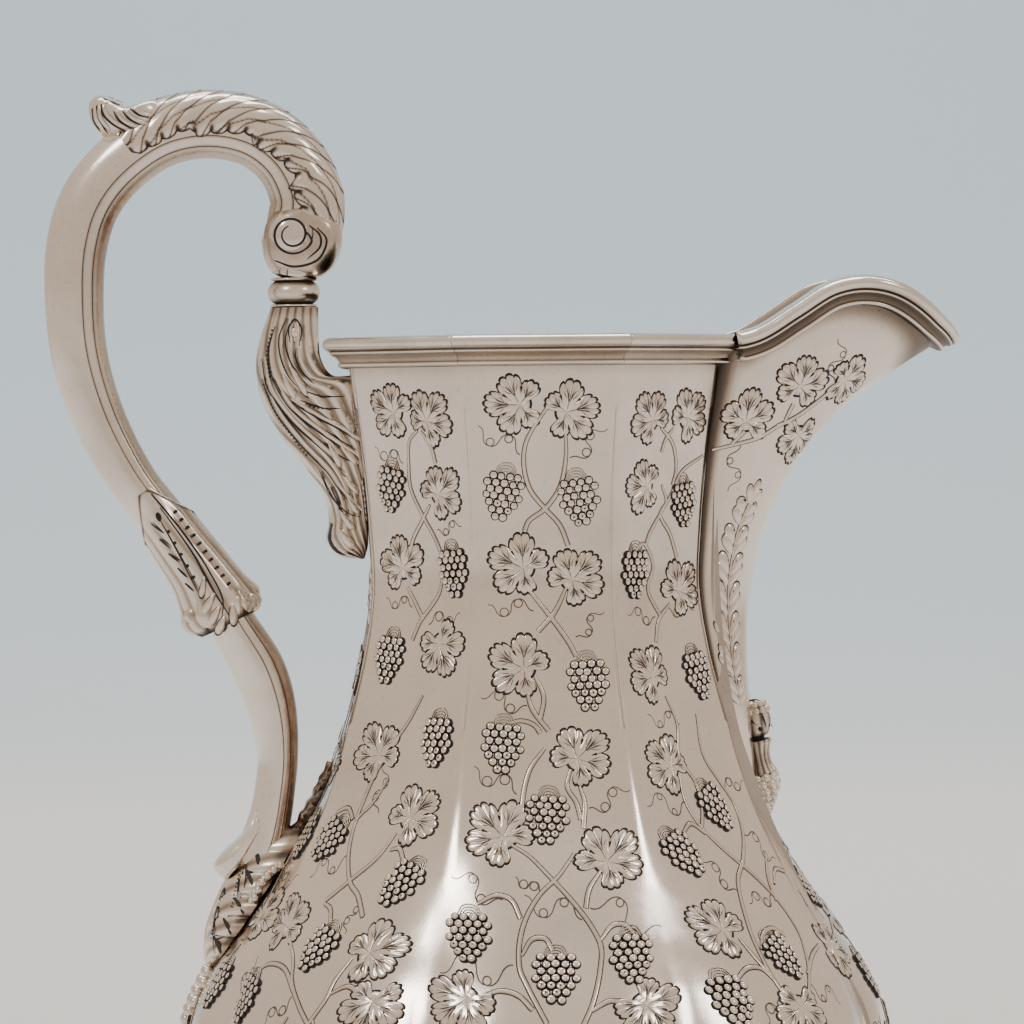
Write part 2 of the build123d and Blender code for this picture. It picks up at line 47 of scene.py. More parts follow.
# The eight-sided body, as part.py has it: height, and distance from the axis to a corner.
BODY_CORNERS = [
    (25, 34), (29.5, 43), (36, 55.5), (46, 70), (58, 81), (72, 85.3), (84, 83.8), (98, 77.8),
    (111, 70.2), (124, 63.3), (137, 57.2), (150, 52.6), (163, 49.3), (176, 46.4), (190, 44.3),
    (205, 44.7), (224, 46.2), (240, 48.3), (252.5, 50.2),
]
FACE_SHARE = [(25, 1.0), (48, 1.02), (98, 1.03), (120, 1.0), (140, 0.95), (155, 0.9275), (252.5, 0.9275)]
BODY_BASE = 25.0
NECK_TOP = 252.5

# The spout: height, reach of the keel, half width at the seam and half width of the bulge.
SPOUT_SECTIONS = [
    (134, 57.5, 2.4, 2.4), (146, 55.6, 8.5, 7.0), (158, 54.6, 15.0, 12.0), (170, 53.7, 17.4, 14.5),
    (184, 54.0, 17.0, 14.5), (197, 56.2, 17.0, 14.5), (208, 60.0, 17.2, 14.5), (219, 65.2, 17.5, 15.0),
    (229, 73.0, 18.0, 16.0), (238, 83.0, 18.5, 17.5), (245, 93.4, 19.0, 19.0), (251, 102.6, 19.5, 20.0),
    (258, 107.2, 20.0, 21.5), (270, 111.5, 20.5, 23.0),
]
SPOUT_ARCH = [(44, 252.2), (54, 254.2), (63, 259.6), (72.5, 265.3), (81.5, 266.8), (90.5, 264.7),
              (99.5, 258.5), (105, 253.2), (112, 245.5)]

# The handle's scrolls: reach, height and width of each section.
HANDLE_DEPTH = 12.0
UPPER_SCROLL = [
    (-58.6, 268.2, 11.4), (-57.6, 273.5, 14.6), (-56.6, 280.5, 17.6), (-56.0, 288, 17.2),
    (-60.2, 297.2, 16.4),
    (-68, 303.4, 16.0), (-79.2, 305.8, 15.8), (-91, 303.6, 15.6), (-102.2, 296, 15.4), (-109.2, 287, 15.4),
    (-112.6, 276, 15.2), (-113.3, 262, 14.6), (-112, 248.2, 14), (-107.3, 232.8, 13.2), (-99.4, 217.8, 12.2),
    
    
    
    
    
    
    
    
    
    
    
    
    (-91.8, 208, 11.8), (-84.8, 198.2, 11.4), (-79.2, 188.6, 11.2),
]
LOWER_SCROLL = [
    (-79.2, 188.6, 11.2), (-73.6, 179.2, 12.4), (-69, 171.2, 13.2), (-66.4, 164, 12.8), (-64.8, 156.6, 11.4),
    
    
    
    
    
    
    
    
    
    
    
    
    (-64.3, 148, 10.2), (-65.2, 139.6, 10.2), (-66.3, 133.5, 10.6), (-68, 127.5, 11.5), (-70.4, 121.6, 10.6),
    
    
    
    
    
    
    
    
    
    
    
    
]


# ---- curves and shared maths --------------------------------------------------

def smooth(stations, places, column=1):
    """Values, at the given places, of a smooth curve through the stations."""
    xs = np.array([station[0] for station in stations], float)
    ys = np.array([station[column] for station in stations], float)
    slopes = np.gradient(ys, xs)
    places = np.clip(np.asarray(places, float), xs[0], xs[-1])
    index = np.clip(np.searchsorted(xs, places, side="right") - 1, 0, len(xs) - 2)
    span = xs[index + 1] - xs[index]
    share = (places - xs[index]) / span
    square = share * share
    cube = square * share
    return (ys[index] * (2 * cube - 3 * square + 1) + slopes[index] * span * (cube - 2 * square + share)
            + ys[index + 1] * (3 * square - 2 * cube) + slopes[index + 1] * span * (cube - square))


def step(low, high, value):
    """0 below low, 1 above high and smooth between."""
    share = np.clip((np.asarray(value, float) - low) / (high - low), 0, 1)
    return share * share * (3 - 2 * share)


def unit(vectors):
    """The vectors at length one."""
    length = np.linalg.norm(vectors, axis=-1, keepdims=True)
    return vectors / np.maximum(length, 1e-9)


def curve_through(points, spacing):
    """Evenly spaced points along a smooth curve through the given points."""
    points = np.asarray(points, float)
    steps = np.linalg.norm(np.diff(points, axis=0), axis=1)
    along = np.concatenate([[0], np.cumsum(np.sqrt(steps))])
    fine = np.linspace(0, along[-1], 24 * len(points))
    dense = np.stack([smooth(list(zip(along, points[:, axis])), fine) for axis in range(points.shape[1])],
                     axis=1)
    lengths = np.concatenate([[0], np.cumsum(np.linalg.norm(np.diff(dense, axis=0), axis=1))])
    count = max(3, int(lengths[-1] / spacing) + 1)
    places = np.linspace(0, lengths[-1], count)
    return np.stack([np.interp(places, lengths, dense[:, axis]) for axis in range(points.shape[1])], axis=1)


# ---- mesh building ------------------------------------------------------------

class Patchwork:
    """Grids of points in one mesh; each point has tarnish with painted shade, and brown tarnish, from 0 to 1.
    """

    def __init__(self):
        self.points = []
        self.tones = []
        self.warms = []
        self.quads = []
        self.count = 0

    def grid(self, points, tones, closed=False, flip=False, warms=0.0):
        """One patch of rows by columns; closed joins the last column to the first."""
        rows, columns = points.shape[:2]
        index = np.arange(rows * columns).reshape(rows, columns) + self.count
        following = np.roll(index, -1, axis=1) if closed else index[:, 1:]
        here = index if closed else index[:, :-1]
        quads = np.stack([here[:-1], following[:-1], following[1:], here[1:]], axis=-1).reshape(-1, 4)
        if flip:
            quads = quads[:, ::-1]
        self.points.append(points.reshape(-1, 3))
        self.tones.append(np.broadcast_to(tones, (rows, columns)).reshape(-1))
        self.warms.append(np.broadcast_to(warms, (rows, columns)).reshape(-1))
        self.quads.append(quads)
        self.count += rows * columns

    def build(self, name, material):
        """The gathered patches as one mesh object in metres, riding on the body."""
        points = np.concatenate(self.points) * MM
        tones = np.concatenate(self.tones)
        quads = np.concatenate(self.quads)
        mesh = bpy.data.meshes.new(name)
        mesh.vertices.add(len(points))
        mesh.vertices.foreach_set("co", points.astype(np.float32).ravel())
        mesh.loops.add(quads.size)
        mesh.loops.foreach_set("vertex_index", quads.astype(np.int32).ravel())
        mesh.polygons.add(len(quads))
        mesh.polygons.foreach_set("loop_start", np.arange(0, quads.size, 4, dtype=np.int32))
        mesh.polygons.foreach_set("loop_total", np.full(len(quads), 4, dtype=np.int32))
        mesh.update(calc_edges=True)
        for label, values in (("tarnish_and_shade", tones), ("brown_stain_and_shade", np.concatenate(self.warms))):
            layer = mesh.attributes.new(label, "FLOAT", "POINT")
            layer.data.foreach_set("value", np.clip(values, 0, 1).astype(np.float32))
        mesh.shade_smooth()
        mesh.materials.append(material)
        piece = bpy.data.objects.new(name, mesh)
        bpy.context.scene.collection.objects.link(piece)
        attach(piece, "root")
        return piece


def weld(piece, distance=0.004):
    """Joins points that coincide, drops faces with no area and turns all faces outward."""
    import bmesh
    work = bmesh.new()
    work.from_mesh(piece.data)
    bmesh.ops.remove_doubles(work, verts=work.verts, dist=distance * MM)
    bmesh.ops.dissolve_degenerate(work, edges=work.edges, dist=distance * MM)
    bmesh.ops.recalc_face_normals(work, faces=work.faces)
    work.to_mesh(piece.data)
    work.free()
    piece.data.shade_smooth()
    return piece


def thicken(piece, thickness, offset=-1.0, lining=None):
    """Gives a sheet its thickness in millimetres; offset -1 grows it inward, where it may get a lining."""
    if lining:
        piece.data.materials.append(lining)
    solid = piece.modifiers.new("thickness", "SOLIDIFY")
    solid.thickness = thickness * MM
    solid.offset = offset
    solid.use_even_offset = True
    solid.use_quality_normals = True
    solid.material_offset = 1 if lining else 0
    return piece


# ---- materials ----------------------------------------------------------------

def silver(name, bright, polish, cloud, scratch, metal=1.0):
    """Silver darkened and dulled by tarnish and painted shade from its attribute, with cloudy patina and fine
    wear.
    """
    material = bpy.data.materials.new(name)
    material.use_nodes = True
    nodes, links = material.node_tree.nodes, material.node_tree.links
    nodes.clear()
    output = nodes.new("ShaderNodeOutputMaterial")
    shader = nodes.new("ShaderNodeBsdfPrincipled")
    links.new(shader.outputs["BSDF"], output.inputs["Surface"])
    place = nodes.new("ShaderNodeTexCoord").outputs["Object"]

    def noise(scale, detail, roughness=0.55):
        node = nodes.new("ShaderNodeTexNoise")
        node.inputs["Scale"].default_value = scale
        node.inputs["Detail"].default_value = detail
        node.inputs["Roughness"].default_value = roughness
        links.new(place, node.inputs["Vector"])
        return node.outputs["Fac"]

    def maths(kind, first, second):
        node = nodes.new("ShaderNodeMath")
        node.operation = kind
        for socket, value in zip(node.inputs, (first, second)):
            if isinstance(value, (int, float)):
                socket.default_value = value
            else:
                links.new(value, socket)
        return node.outputs[0]

    def spread(value, low, high, to_low, to_high):
        node = nodes.new("ShaderNodeMapRange")
        links.new(value, node.inputs["Value"])
        for label, number in (("From Min", low), ("From Max", high), ("To Min", to_low),
                              ("To Max", to_high)):
            node.inputs[label].default_value = number
        return node.outputs["Result"]

    # The darkening attribute: tarnish, and painted shade where the mesh builders put it.
    tarnish_and_shade = nodes.new("ShaderNodeAttribute")
    tarnish_and_shade.attribute_name = "tarnish_and_shade"
    clouds = spread(noise(38, 5), 0.42, 0.72, 0.0, cloud)
    specks = spread(noise(900, 3), 0.60, 0.75, 0.0, 0.10)
    amount = maths("ADD", maths("ADD", tarnish_and_shade.outputs["Fac"], clouds), specks)

    ramp = nodes.new("ShaderNodeValToRGB")
    links.new(amount, ramp.inputs["Fac"])
    stops = [(0.0, bright), (0.30, (0.50, 0.42, 0.34)), (0.62, (0.17, 0.135, 0.11)),
             (1.0, (0.012, 0.011, 0.012))]
    while len(ramp.color_ramp.elements) < len(stops):
        ramp.color_ramp.elements.new(0.5)
    for element, (position, colour) in zip(ramp.color_ramp.elements, stops):
        element.position = position
        element.color = (*colour, 1)
    brown_stain_and_shade = nodes.new("ShaderNodeAttribute")
    brown_stain_and_shade.attribute_name = "brown_stain_and_shade"
    stain = nodes.new("ShaderNodeMix")
    stain.data_type = "RGBA"
    stain.blend_type = "MULTIPLY"
    patchy = maths("MULTIPLY", brown_stain_and_shade.outputs["Fac"], spread(noise(420, 4), 0.35, 0.62, 0.35, 1.0))
    links.new(patchy, stain.inputs["Factor"])
    links.new(ramp.outputs["Color"], stain.inputs["A"])
    stain.inputs["B"].default_value = (0.55, 0.30, 0.17, 1)
    links.new(stain.outputs["Result"], shader.inputs["Base Color"])
    links.new(spread(amount, 0.55, 1.0, metal, 0.35), shader.inputs["Metallic"])

    wear = maths("ADD", spread(noise(130, 6), 0.35, 0.70, polish, polish + 0.07),
                 spread(amount, 0.05, 0.8, 0.0, 0.32))
    links.new(wear, shader.inputs["Roughness"])

    stretch = nodes.new("ShaderNodeMapping")
    stretch.inputs["Scale"].default_value = (1.0, 1.0, 0.16)
    stretch.inputs["Rotation"].default_value = (0.4, 0.3, 0.2)
    links.new(place, stretch.inputs["Vector"])
    hairlines = nodes.new("ShaderNodeTexNoise")
    hairlines.inputs["Scale"].default_value = 2600
    hairlines.inputs["Detail"].default_value = 2
    links.new(stretch.outputs["Vector"], hairlines.inputs["Vector"])
    surface = maths("ADD", maths("MULTIPLY", noise(95, 2), 0.8),
                    maths("MULTIPLY", hairlines.outputs["Fac"], scratch))
    bump = nodes.new("ShaderNodeBump")
    bump.inputs["Strength"].default_value = 0.35
    bump.inputs["Distance"].default_value = 0.00025
    links.new(surface, bump.inputs["Height"])
    links.new(bump.outputs["Normal"], shader.inputs["Normal"])
    return material


SHEET = silver("sheet_silver", (0.88, 0.80, 0.72), 0.14, 0.09, 0.10)
MOULDED = silver("moulded_silver", (0.86, 0.80, 0.73), 0.13, 0.12, 0.08)
LINING = silver("lining_silver", (0.84, 0.77, 0.69), 0.34, 0.10, 0.06, metal=0.55)
CAST = silver("cast_silver", (0.90, 0.84, 0.765), 0.17, 0.12, 0.12)
LEAFY = silver("leaf_silver", (0.86, 0.80, 0.72), 0.16, 0.12, 0.05)


# ---- the body's surface -------------------------------------------------------

def corner_at(height):
    """Distance from the axis to a body corner."""
    return smooth(BODY_CORNERS, height)


def face_at(height):
    """Distance from the axis to the middle of a body face."""
    return corner_at(height) * smooth(FACE_SHARE, height)


def body_point(side, across, height, lift=0.0):
    """Points on the body: across runs from -1 to 1 between a face's corners and on to its neighbours."""
    across, height = np.broadcast_arrays(np.asarray(across, float), np.asarray(height, float))

    def flat_point(across, height):
        neighbour = np.round(across / 2 * 0.9999)
        across = across - 2 * neighbour
        corner = corner_at(height)
        face = face_at(height)
        chord = corner * math.sin(HALF_SIDE)
        bulge = np.maximum(face - corner * math.cos(HALF_SIDE), 0.02)
        arc = (chord ** 2 + bulge ** 2) / (2 * bulge)
        turn = across * np.arcsin(np.clip(chord / arc, -1, 1))
        reach = face - arc + arc * np.cos(turn)
        sideways = arc * np.sin(turn)
        heading = (side + neighbour) * 2 * HALF_SIDE
        return np.stack([reach * np.cos(heading) - sideways * np.sin(heading),
                         reach * np.sin(heading) + sideways * np.cos(heading), height], axis=-1)

    point = flat_point(across, height)
    if np.any(lift):
        east = flat_point(across + 0.03, height) - flat_point(across - 0.03, height)
        north = flat_point(across, height + 0.3) - flat_point(across, height - 0.3)
        point = point + unit(np.cross(east, north)) * np.asarray(lift)[..., None]
    return point


def make_body():
    """The raised body: seven full faces, and the spout face up to where the spout opens into it."""
    columns = 25
    rows = 190
    across = np.linspace(-1, 1, columns)
    sheet = Patchwork()
    for side in range(SIDES):
        top = np.full(columns, NECK_TOP)
        if side == 0:
            top = np.interp(np.abs(across), [0, 0.25, 0.86, 0.87, 1], [148, 148, 172, NECK_TOP, NECK_TOP])
        share = np.linspace(0, 1, rows)[:, None]
        height = BODY_BASE + (top[None, :] - BODY_BASE) * share
        points = body_point(side, np.broadcast_to(across, height.shape), height)
        # Painted shade on the faces just under the neck's rim moulding.
        painted_shade_under_rim = step(242, 246, height) * 0.16
        foot_line = 0.35 * (1 - step(25, 33, height))
        sheet.grid(points, painted_shade_under_rim + foot_line)
    return thicken(weld(sheet.build("body", SHEET)), WALL, lining=LINING)


# ---- the spout ----------------------------------------------------------------

def spout_raw(turn, height):
    """Points on the spout's outside: turn is 0 on the keel and 90 degrees each way at the seams."""
    keel = smooth(SPOUT_SECTIONS, height, 1)
    seam_half = smooth(SPOUT_SECTIONS, height, 2)
    bulge_half = smooth(SPOUT_SECTIONS, height, 3)
    seam = face_at(np.minimum(height, NECK_TOP)) + 0.1
    half = seam_half + (bulge_half * 1.08 - seam_half) * np.cos(turn) ** 0.9
    return np.stack([seam + (keel - seam) * np.cos(turn), half * np.sin(turn), height], axis=-1)


def spout_top(turn):
    """The height of the spout's arched edge at each turn."""
    low = np.full(turn.shape, 200.0)
    high = np.full(turn.shape, 270.0)
    for _ in range(30):
        middle = (low + high) / 2
        reach = spout_raw(turn, middle)[..., 0]
        inside = middle < smooth(SPOUT_ARCH, reach)
        low = np.where(inside, middle, low)
        high = np.where(inside, high, middle)
    return low


def spout_point(turn, height, lift=0.0):
    """Points on the spout, raised off it along its normal."""
    turn, height = np.broadcast_arrays(np.asarray(turn, float), np.asarray(height, float))
    point = spout_raw(turn, height)
    if np.any(lift):
        east = spout_raw(turn + 0.01, height) - spout_raw(turn - 0.01, height)
        north = spout_raw(turn, height + 0.3) - spout_raw(turn, height - 0.3)
        point = point + unit(np.cross(east, north)) * np.asarray(lift)[..., None]
    return point


def make_spout():
    """The raised spout, with a dark solder line down each seam and painted shade under its rim."""
    turn = np.linspace(-1, 1, 97) * math.pi / 2
    share = np.linspace(0, 1, 150)[:, None]
    top = spout_top(turn)
    height = 135.5 + (top[None, :] - 135.5) * share
    points = spout_point(np.broadcast_to(turn, height.shape), height)
    seam_line = step(1.44, 1.56, np.abs(turn))[None, :] * 0.85
    below = top[None, :] - height
    # Painted shade under the spout's rim moulding, deepest towards the keel and fading over a few
    # millimetres.
    painted_shade_under_rim = (1 - step(7.2, 12.5, below)) * (0.25 + 0.35 * np.cos(turn)[None, :] ** 0.7)
    sheet = Patchwork()
    sheet.grid(points, np.maximum(seam_line, painted_shade_under_rim))
    return thicken(weld(sheet.build("spout", SHEET)), WALL, lining=LINING)


# ---- chased ornament on the sheet ---------------------------------------------

PROFILE_HEIGHTS = np.linspace(BODY_BASE, NECK_TOP, 900)
PROFILE_RUN = np.concatenate([[0], np.cumsum(np.hypot(np.diff(PROFILE_HEIGHTS),
                                                      np.diff(face_at(PROFILE_HEIGHTS))))])


class Panel:
    """One face of the body as a flat sheet: millimetres across from its middle line, and height."""

    def __init__(self, side):
        self.side = side
        self.mirror = 1 if side in (0, 4, 5, 6, 7) else -1

    def point(self, across, height, lift):
        """Points at a distance across the face and a height, raised off it."""
        half_chord = corner_at(height) * math.sin(HALF_SIDE)
        return body_point(self.side, self.mirror * across / half_chord, height, lift)

    def around(self, origin, right, up, lift):
        """Points to the right of and above an origin, measured along the curved sheet."""
        run = np.interp(origin[1], PROFILE_HEIGHTS, PROFILE_RUN) + up
        height = np.interp(run, PROFILE_RUN, PROFILE_HEIGHTS)
        return self.point(origin[0] + right, height, lift)


CHEEK_HEIGHTS = np.linspace(136, 268, 67)
CHEEK_SHARES = np.linspace(0, 1, 41)


def cheek_tables():
    """For heights up the spout: its length from seam to keel, and the turn at even shares of that length."""
    turn = np.linspace(math.pi / 2, 0, 80)
    lengths = []
    turns = []
    for height in CHEEK_HEIGHTS:
        line = spout_raw(turn, np.full(turn.shape, height))
        run = np.concatenate([[0], np.cumsum(np.linalg.norm(np.diff(line, axis=0), axis=1))])
        lengths.append(run[-1])
        turns.append(np.interp(CHEEK_SHARES * run[-1], run, turn))
    return np.array(lengths), np.array(turns)


CHEEK_LENGTHS, CHEEK_TURNS = cheek_tables()


class SpoutCheek:
    """One side of the spout as a flat sheet: millimetres forward from the seam, and height."""

    def __init__(self, sign):
        self.mirror = -sign
        self.sign = sign

    def point(self, forward, height, lift):
        """Points at a distance forward of the seam and a height, raised off the spout."""
        forward, height = np.broadcast_arrays(np.asarray(forward, float), np.asarray(height, float))
        share = np.clip(forward / np.interp(height, CHEEK_HEIGHTS, CHEEK_LENGTHS), -0.1, 1.9)
        over = share > 1
        share_place = np.where(over, 2 - share, np.abs(share)) * (len(CHEEK_SHARES) - 1)
        height_place = (height - CHEEK_HEIGHTS[0]) / (CHEEK_HEIGHTS[1] - CHEEK_HEIGHTS[0])
        column = np.clip(share_place.astype(int), 0, len(CHEEK_SHARES) - 2)
        row = np.clip(height_place.astype(int), 0, len(CHEEK_HEIGHTS) - 2)
        right = share_place - column
        up = height_place - row
        turn = ((CHEEK_TURNS[row, column] * (1 - right) + CHEEK_TURNS[row, column + 1] * right) * (1 - up)
                + (CHEEK_TURNS[row + 1, column] * (1 - right) + CHEEK_TURNS[row + 1, column + 1] * right)
                * up)
        return spout_point(np.where(over, -turn, turn) * self.sign, height, lift)

    def around(self, origin, right, up, lift):
        """Points to the right of and above an origin, measured along the sheet."""
        return self.point(origin[0] + right, origin[1] + up, lift)


class Relief:
    """Ornament for one sheet, gathered as leaf metal, as grapes and as chased lines."""

    def __init__(self, sheet, seed):
        self.sheet = sheet
        self.random = random.Random(seed)
        self.leaves = Patchwork()
        self.grapes = Patchwork()
        self.lines = Patchwork()

    def build(self, name, material=SHEET):
        """The gathered metal and lines as mesh objects."""
        gathered = (("leaves", self.leaves), ("lines", self.lines), ("grapes", self.grapes))
        return [work.build(f"{name}_{kind}", material) for kind, work in gathered if work.count]


# Leaf lobes: direction in degrees from the tip, length, half width in degrees and number of teeth.
LEAF_LOBES = [(0, 1.0, 30, 5), (62, 0.92, 32, 4), (-62, 0.92, 32, 4), (125, 0.74, 31, 4),
              (-125, 0.74, 31, 4)]
LEAF_SINUSES = (30, -30, 94, -94)
LEAF_TURNS = np.linspace(-180, 180, 181)
LEAF_RINGS = np.array([0.0, 0.12, 0.24, 0.36, 0.48, 0.58, 0.67, 0.75, 0.82, 0.88, 0.93, 0.965, 0.99, 1.0])


def leaf_edge(turn):
    """The leaf's edge as a share of its length, with how far up its tooth each direction is."""
    turn = np.asarray(turn, float)
    edge = np.full(turn.shape, 0.30)
    tooth = np.zeros(turn.shape)
    for middle, length, half, teeth in LEAF_LOBES:
        offset = (turn - middle) / half
        inside = np.abs(offset) <= 1
        place = (offset + 1) / 2 * teeth
        bow = np.sqrt(np.clip(1 - (2 * (place - np.floor(place)) - 1) ** 2, 0, 1))
        lobe = length * (1 - 0.27 * np.abs(np.clip(offset, -1, 1)) ** 2.4) + 0.085 * (bow - 0.6)
        better = inside & (lobe > edge)
        edge = np.where(better, lobe, edge)
        tooth = np.where(better, bow, tooth)
    return edge, tooth


def leaf_lift(turn, share, height):
    """How far the leaf's metal stands off the sheet."""
    tooth = leaf_edge(turn)[1]
    puff = np.clip(1 - share ** 5, 0,
                   1) ** 0.6 * (0.55 + 0.45 * np.sin(np.clip(share * 1.25, 0, 1) * math.pi / 1.3))
    crease = np.zeros(np.shape(turn))
    for sinus in LEAF_SINUSES:
        crease = np.maximum(crease, np.exp(-((turn - sinus) / 5.0) ** 2) * step(0.25, 0.7, share))
    vein = np.zeros(np.shape(turn))
    for middle, *_ in LEAF_LOBES:
        vein = np.maximum(vein, np.exp(-((turn - middle) / 4.0) ** 2) * (1 - step(0.55, 0.9, share)))
    teeth = (1 - tooth) * step(0.55, 0.95, share)
    return height * puff * (1 - 0.42 * crease) * (1 - 0.35 * vein) * (1 - 0.5 * teeth) + 0.05


def add_leaf(relief, place, heading, size=8.9, height=0.62, squeeze=1.0):
    """One vine leaf with its midrib, veins, chased strokes and punches."""
    bend = relief.random.uniform(-0.16, 0.16)
    ripple = [relief.random.uniform(0.92, 1.06) for _ in LEAF_LOBES]
    angle = math.radians(heading)
    tip = np.array([math.sin(angle), math.cos(angle)])
    side = np.array([math.cos(angle), -math.sin(angle)])
    mirror = relief.sheet.mirror

    def flat(turn, share):
        edge = leaf_edge(turn)[0]
        for (middle, *_), factor in zip(LEAF_LOBES, ripple):
            edge = edge * (1 + (factor - 1) * np.exp(-((turn - middle) / 22.0) ** 2))
        reach = share * edge * size
        along = reach * np.cos(np.radians(turn)) - 0.2 * size
        across = reach * np.sin(np.radians(turn)) * squeeze + bend * size * (along / size) ** 2
        return along[..., None] * tip + across[..., None] * side

    def lay(turn, share, lift):
        point = flat(turn, share)
        return relief.sheet.around(place, point[..., 0], point[..., 1], lift)

    turns, shares = np.meshgrid(LEAF_TURNS, LEAF_RINGS)
    lift = leaf_lift(turns, shares, height)
    tooth = leaf_edge(turns)[1]
    tone = 0.10 * (1 - tooth) * step(0.6, 0.95, shares) + 0.45 * step(0.955, 0.985, shares)
    for sinus in LEAF_SINUSES:
        tone = tone + 0.25 * np.exp(-((turns - sinus) / 4.0) ** 2) * step(0.45, 0.75, shares)
    relief.leaves.grid(lay(turns, shares, lift), tone, flip=mirror < 0)

    edge = leaf_edge(LEAF_TURNS)[0]
    ring_shares = np.stack([np.full(edge.shape, 0.98), 1 + 0.12 / (edge * size), 1 + 0.46 / (edge * size),
                            1 + 0.60 / (edge * size)])
    ring_turns = np.broadcast_to(LEAF_TURNS, ring_shares.shape)
    ring_lift = np.array([0.16, 0.05, 0.045, -0.05])[:, None] + np.zeros(ring_shares.shape)
    relief.lines.grid(lay(ring_turns, ring_shares, ring_lift),
                      np.array([0.9, 1.0, 1.0, 0.9])[:, None] + 0 * ring_lift,
                      flip=mirror < 0)

    def stroke(start, end, sweep, width, tone):
        count = 9
        share = np.linspace(0, 1, count)
        spots = np.stack([start[0] + (end[0] - start[0]) * share + sweep * np.sin(share * math.pi),
                          start[1] + (end[1] - start[1]) * share], axis=1)
        line = flat(spots[:, 0], spots[:, 1])
        ahead = unit(np.gradient(line, axis=0))
        square = np.stack([ahead[:, 1], -ahead[:, 0]], axis=1)
        taper = np.sin(np.clip(share * 1.15 + 0.12, 0, 1) * math.pi) ** 0.5 + 0.12
        offsets = (np.array([-0.5, 0.0, 0.5]) * width)[None, :] * taper[:, None]
        spot = line[:, None, :] + square[:, None, :] * offsets[..., None]
        base = leaf_lift(spots[:, 0], np.abs(spots[:, 1]), height)[:, None]
        rise = base + np.array([0.0, 0.05, 0.0])[None, :] + 0.02
        points = relief.sheet.around(place, spot[..., 0], spot[..., 1], rise)
        relief.lines.grid(points, np.full(points.shape[:2], tone), flip=mirror < 0)

    for middle, _, half, teeth in LEAF_LOBES:
        main = middle == 0
        stroke((middle, 0.02), (middle + relief.random.uniform(-2, 2), 0.80 if main else 0.70), 0.0,
               0.42 if main else 0.24, 1.0 if main else 0.72)
        for tooth_index in range(teeth + 1):
            boundary = middle + half * (2 * tooth_index / teeth - 1)
            if tooth_index in (0, teeth):
                continue
            inner = middle + (boundary - middle) * 0.25
            stroke((inner, 0.34), (boundary, 0.93), 0.0, 0.26, 0.80)
        for tooth_index in range(teeth):
            centre = middle + half * ((2 * tooth_index + 1) / teeth - 1)
            inner = middle + (centre - middle) * 0.5
            stroke((inner, 0.46), (centre, 0.80), 0.0, 0.20, 0.62)

    for sinus in LEAF_SINUSES:
        if relief.random.random() < 0.16:
            continue
        add_punch(relief, place, flat, sinus, relief.random.uniform(0.70, 0.78), height)


def add_punch(relief, place, flat, turn, share, height):
    """A dark teardrop punched at the bottom of the gap between two lobes."""
    middle = flat(np.array([turn]), np.array([share]))[0]
    outer = flat(np.array([turn]), np.array([share + 0.1]))[0]
    ahead = unit(outer - middle)
    square = np.array([ahead[1], -ahead[0]])
    around = np.linspace(0, 2 * math.pi, 15)
    reach = np.array([0.0, 0.6, 1.0])[:, None]
    along = np.cos(around)[None, :] * reach * 0.78
    across = np.sin(around)[None, :] * reach * 0.48 * (1 - 0.30 * np.cos(around))[None, :]
    spot = middle + along[..., None] * ahead + across[..., None] * square
    lift = leaf_lift(np.full(spot.shape[:2], float(turn)), np.full(spot.shape[:2], share), height) + 0.18
    points = relief.sheet.around(place, spot[..., 0], spot[..., 1], lift)
    relief.lines.grid(points, np.ones(points.shape[:2]), flip=relief.sheet.mirror < 0)


# Bunch of grapes: how many berries in each row from the top down.
BUNCH_ROWS = (4, 5, 4, 5, 4, 3, 2)
BERRY_RADIUS = 1.06
BERRY_PITCH = 2.10
BERRY_DROP = 1.72
BERRY_RISE = 0.56
BUNCH_CROWN = 0.34


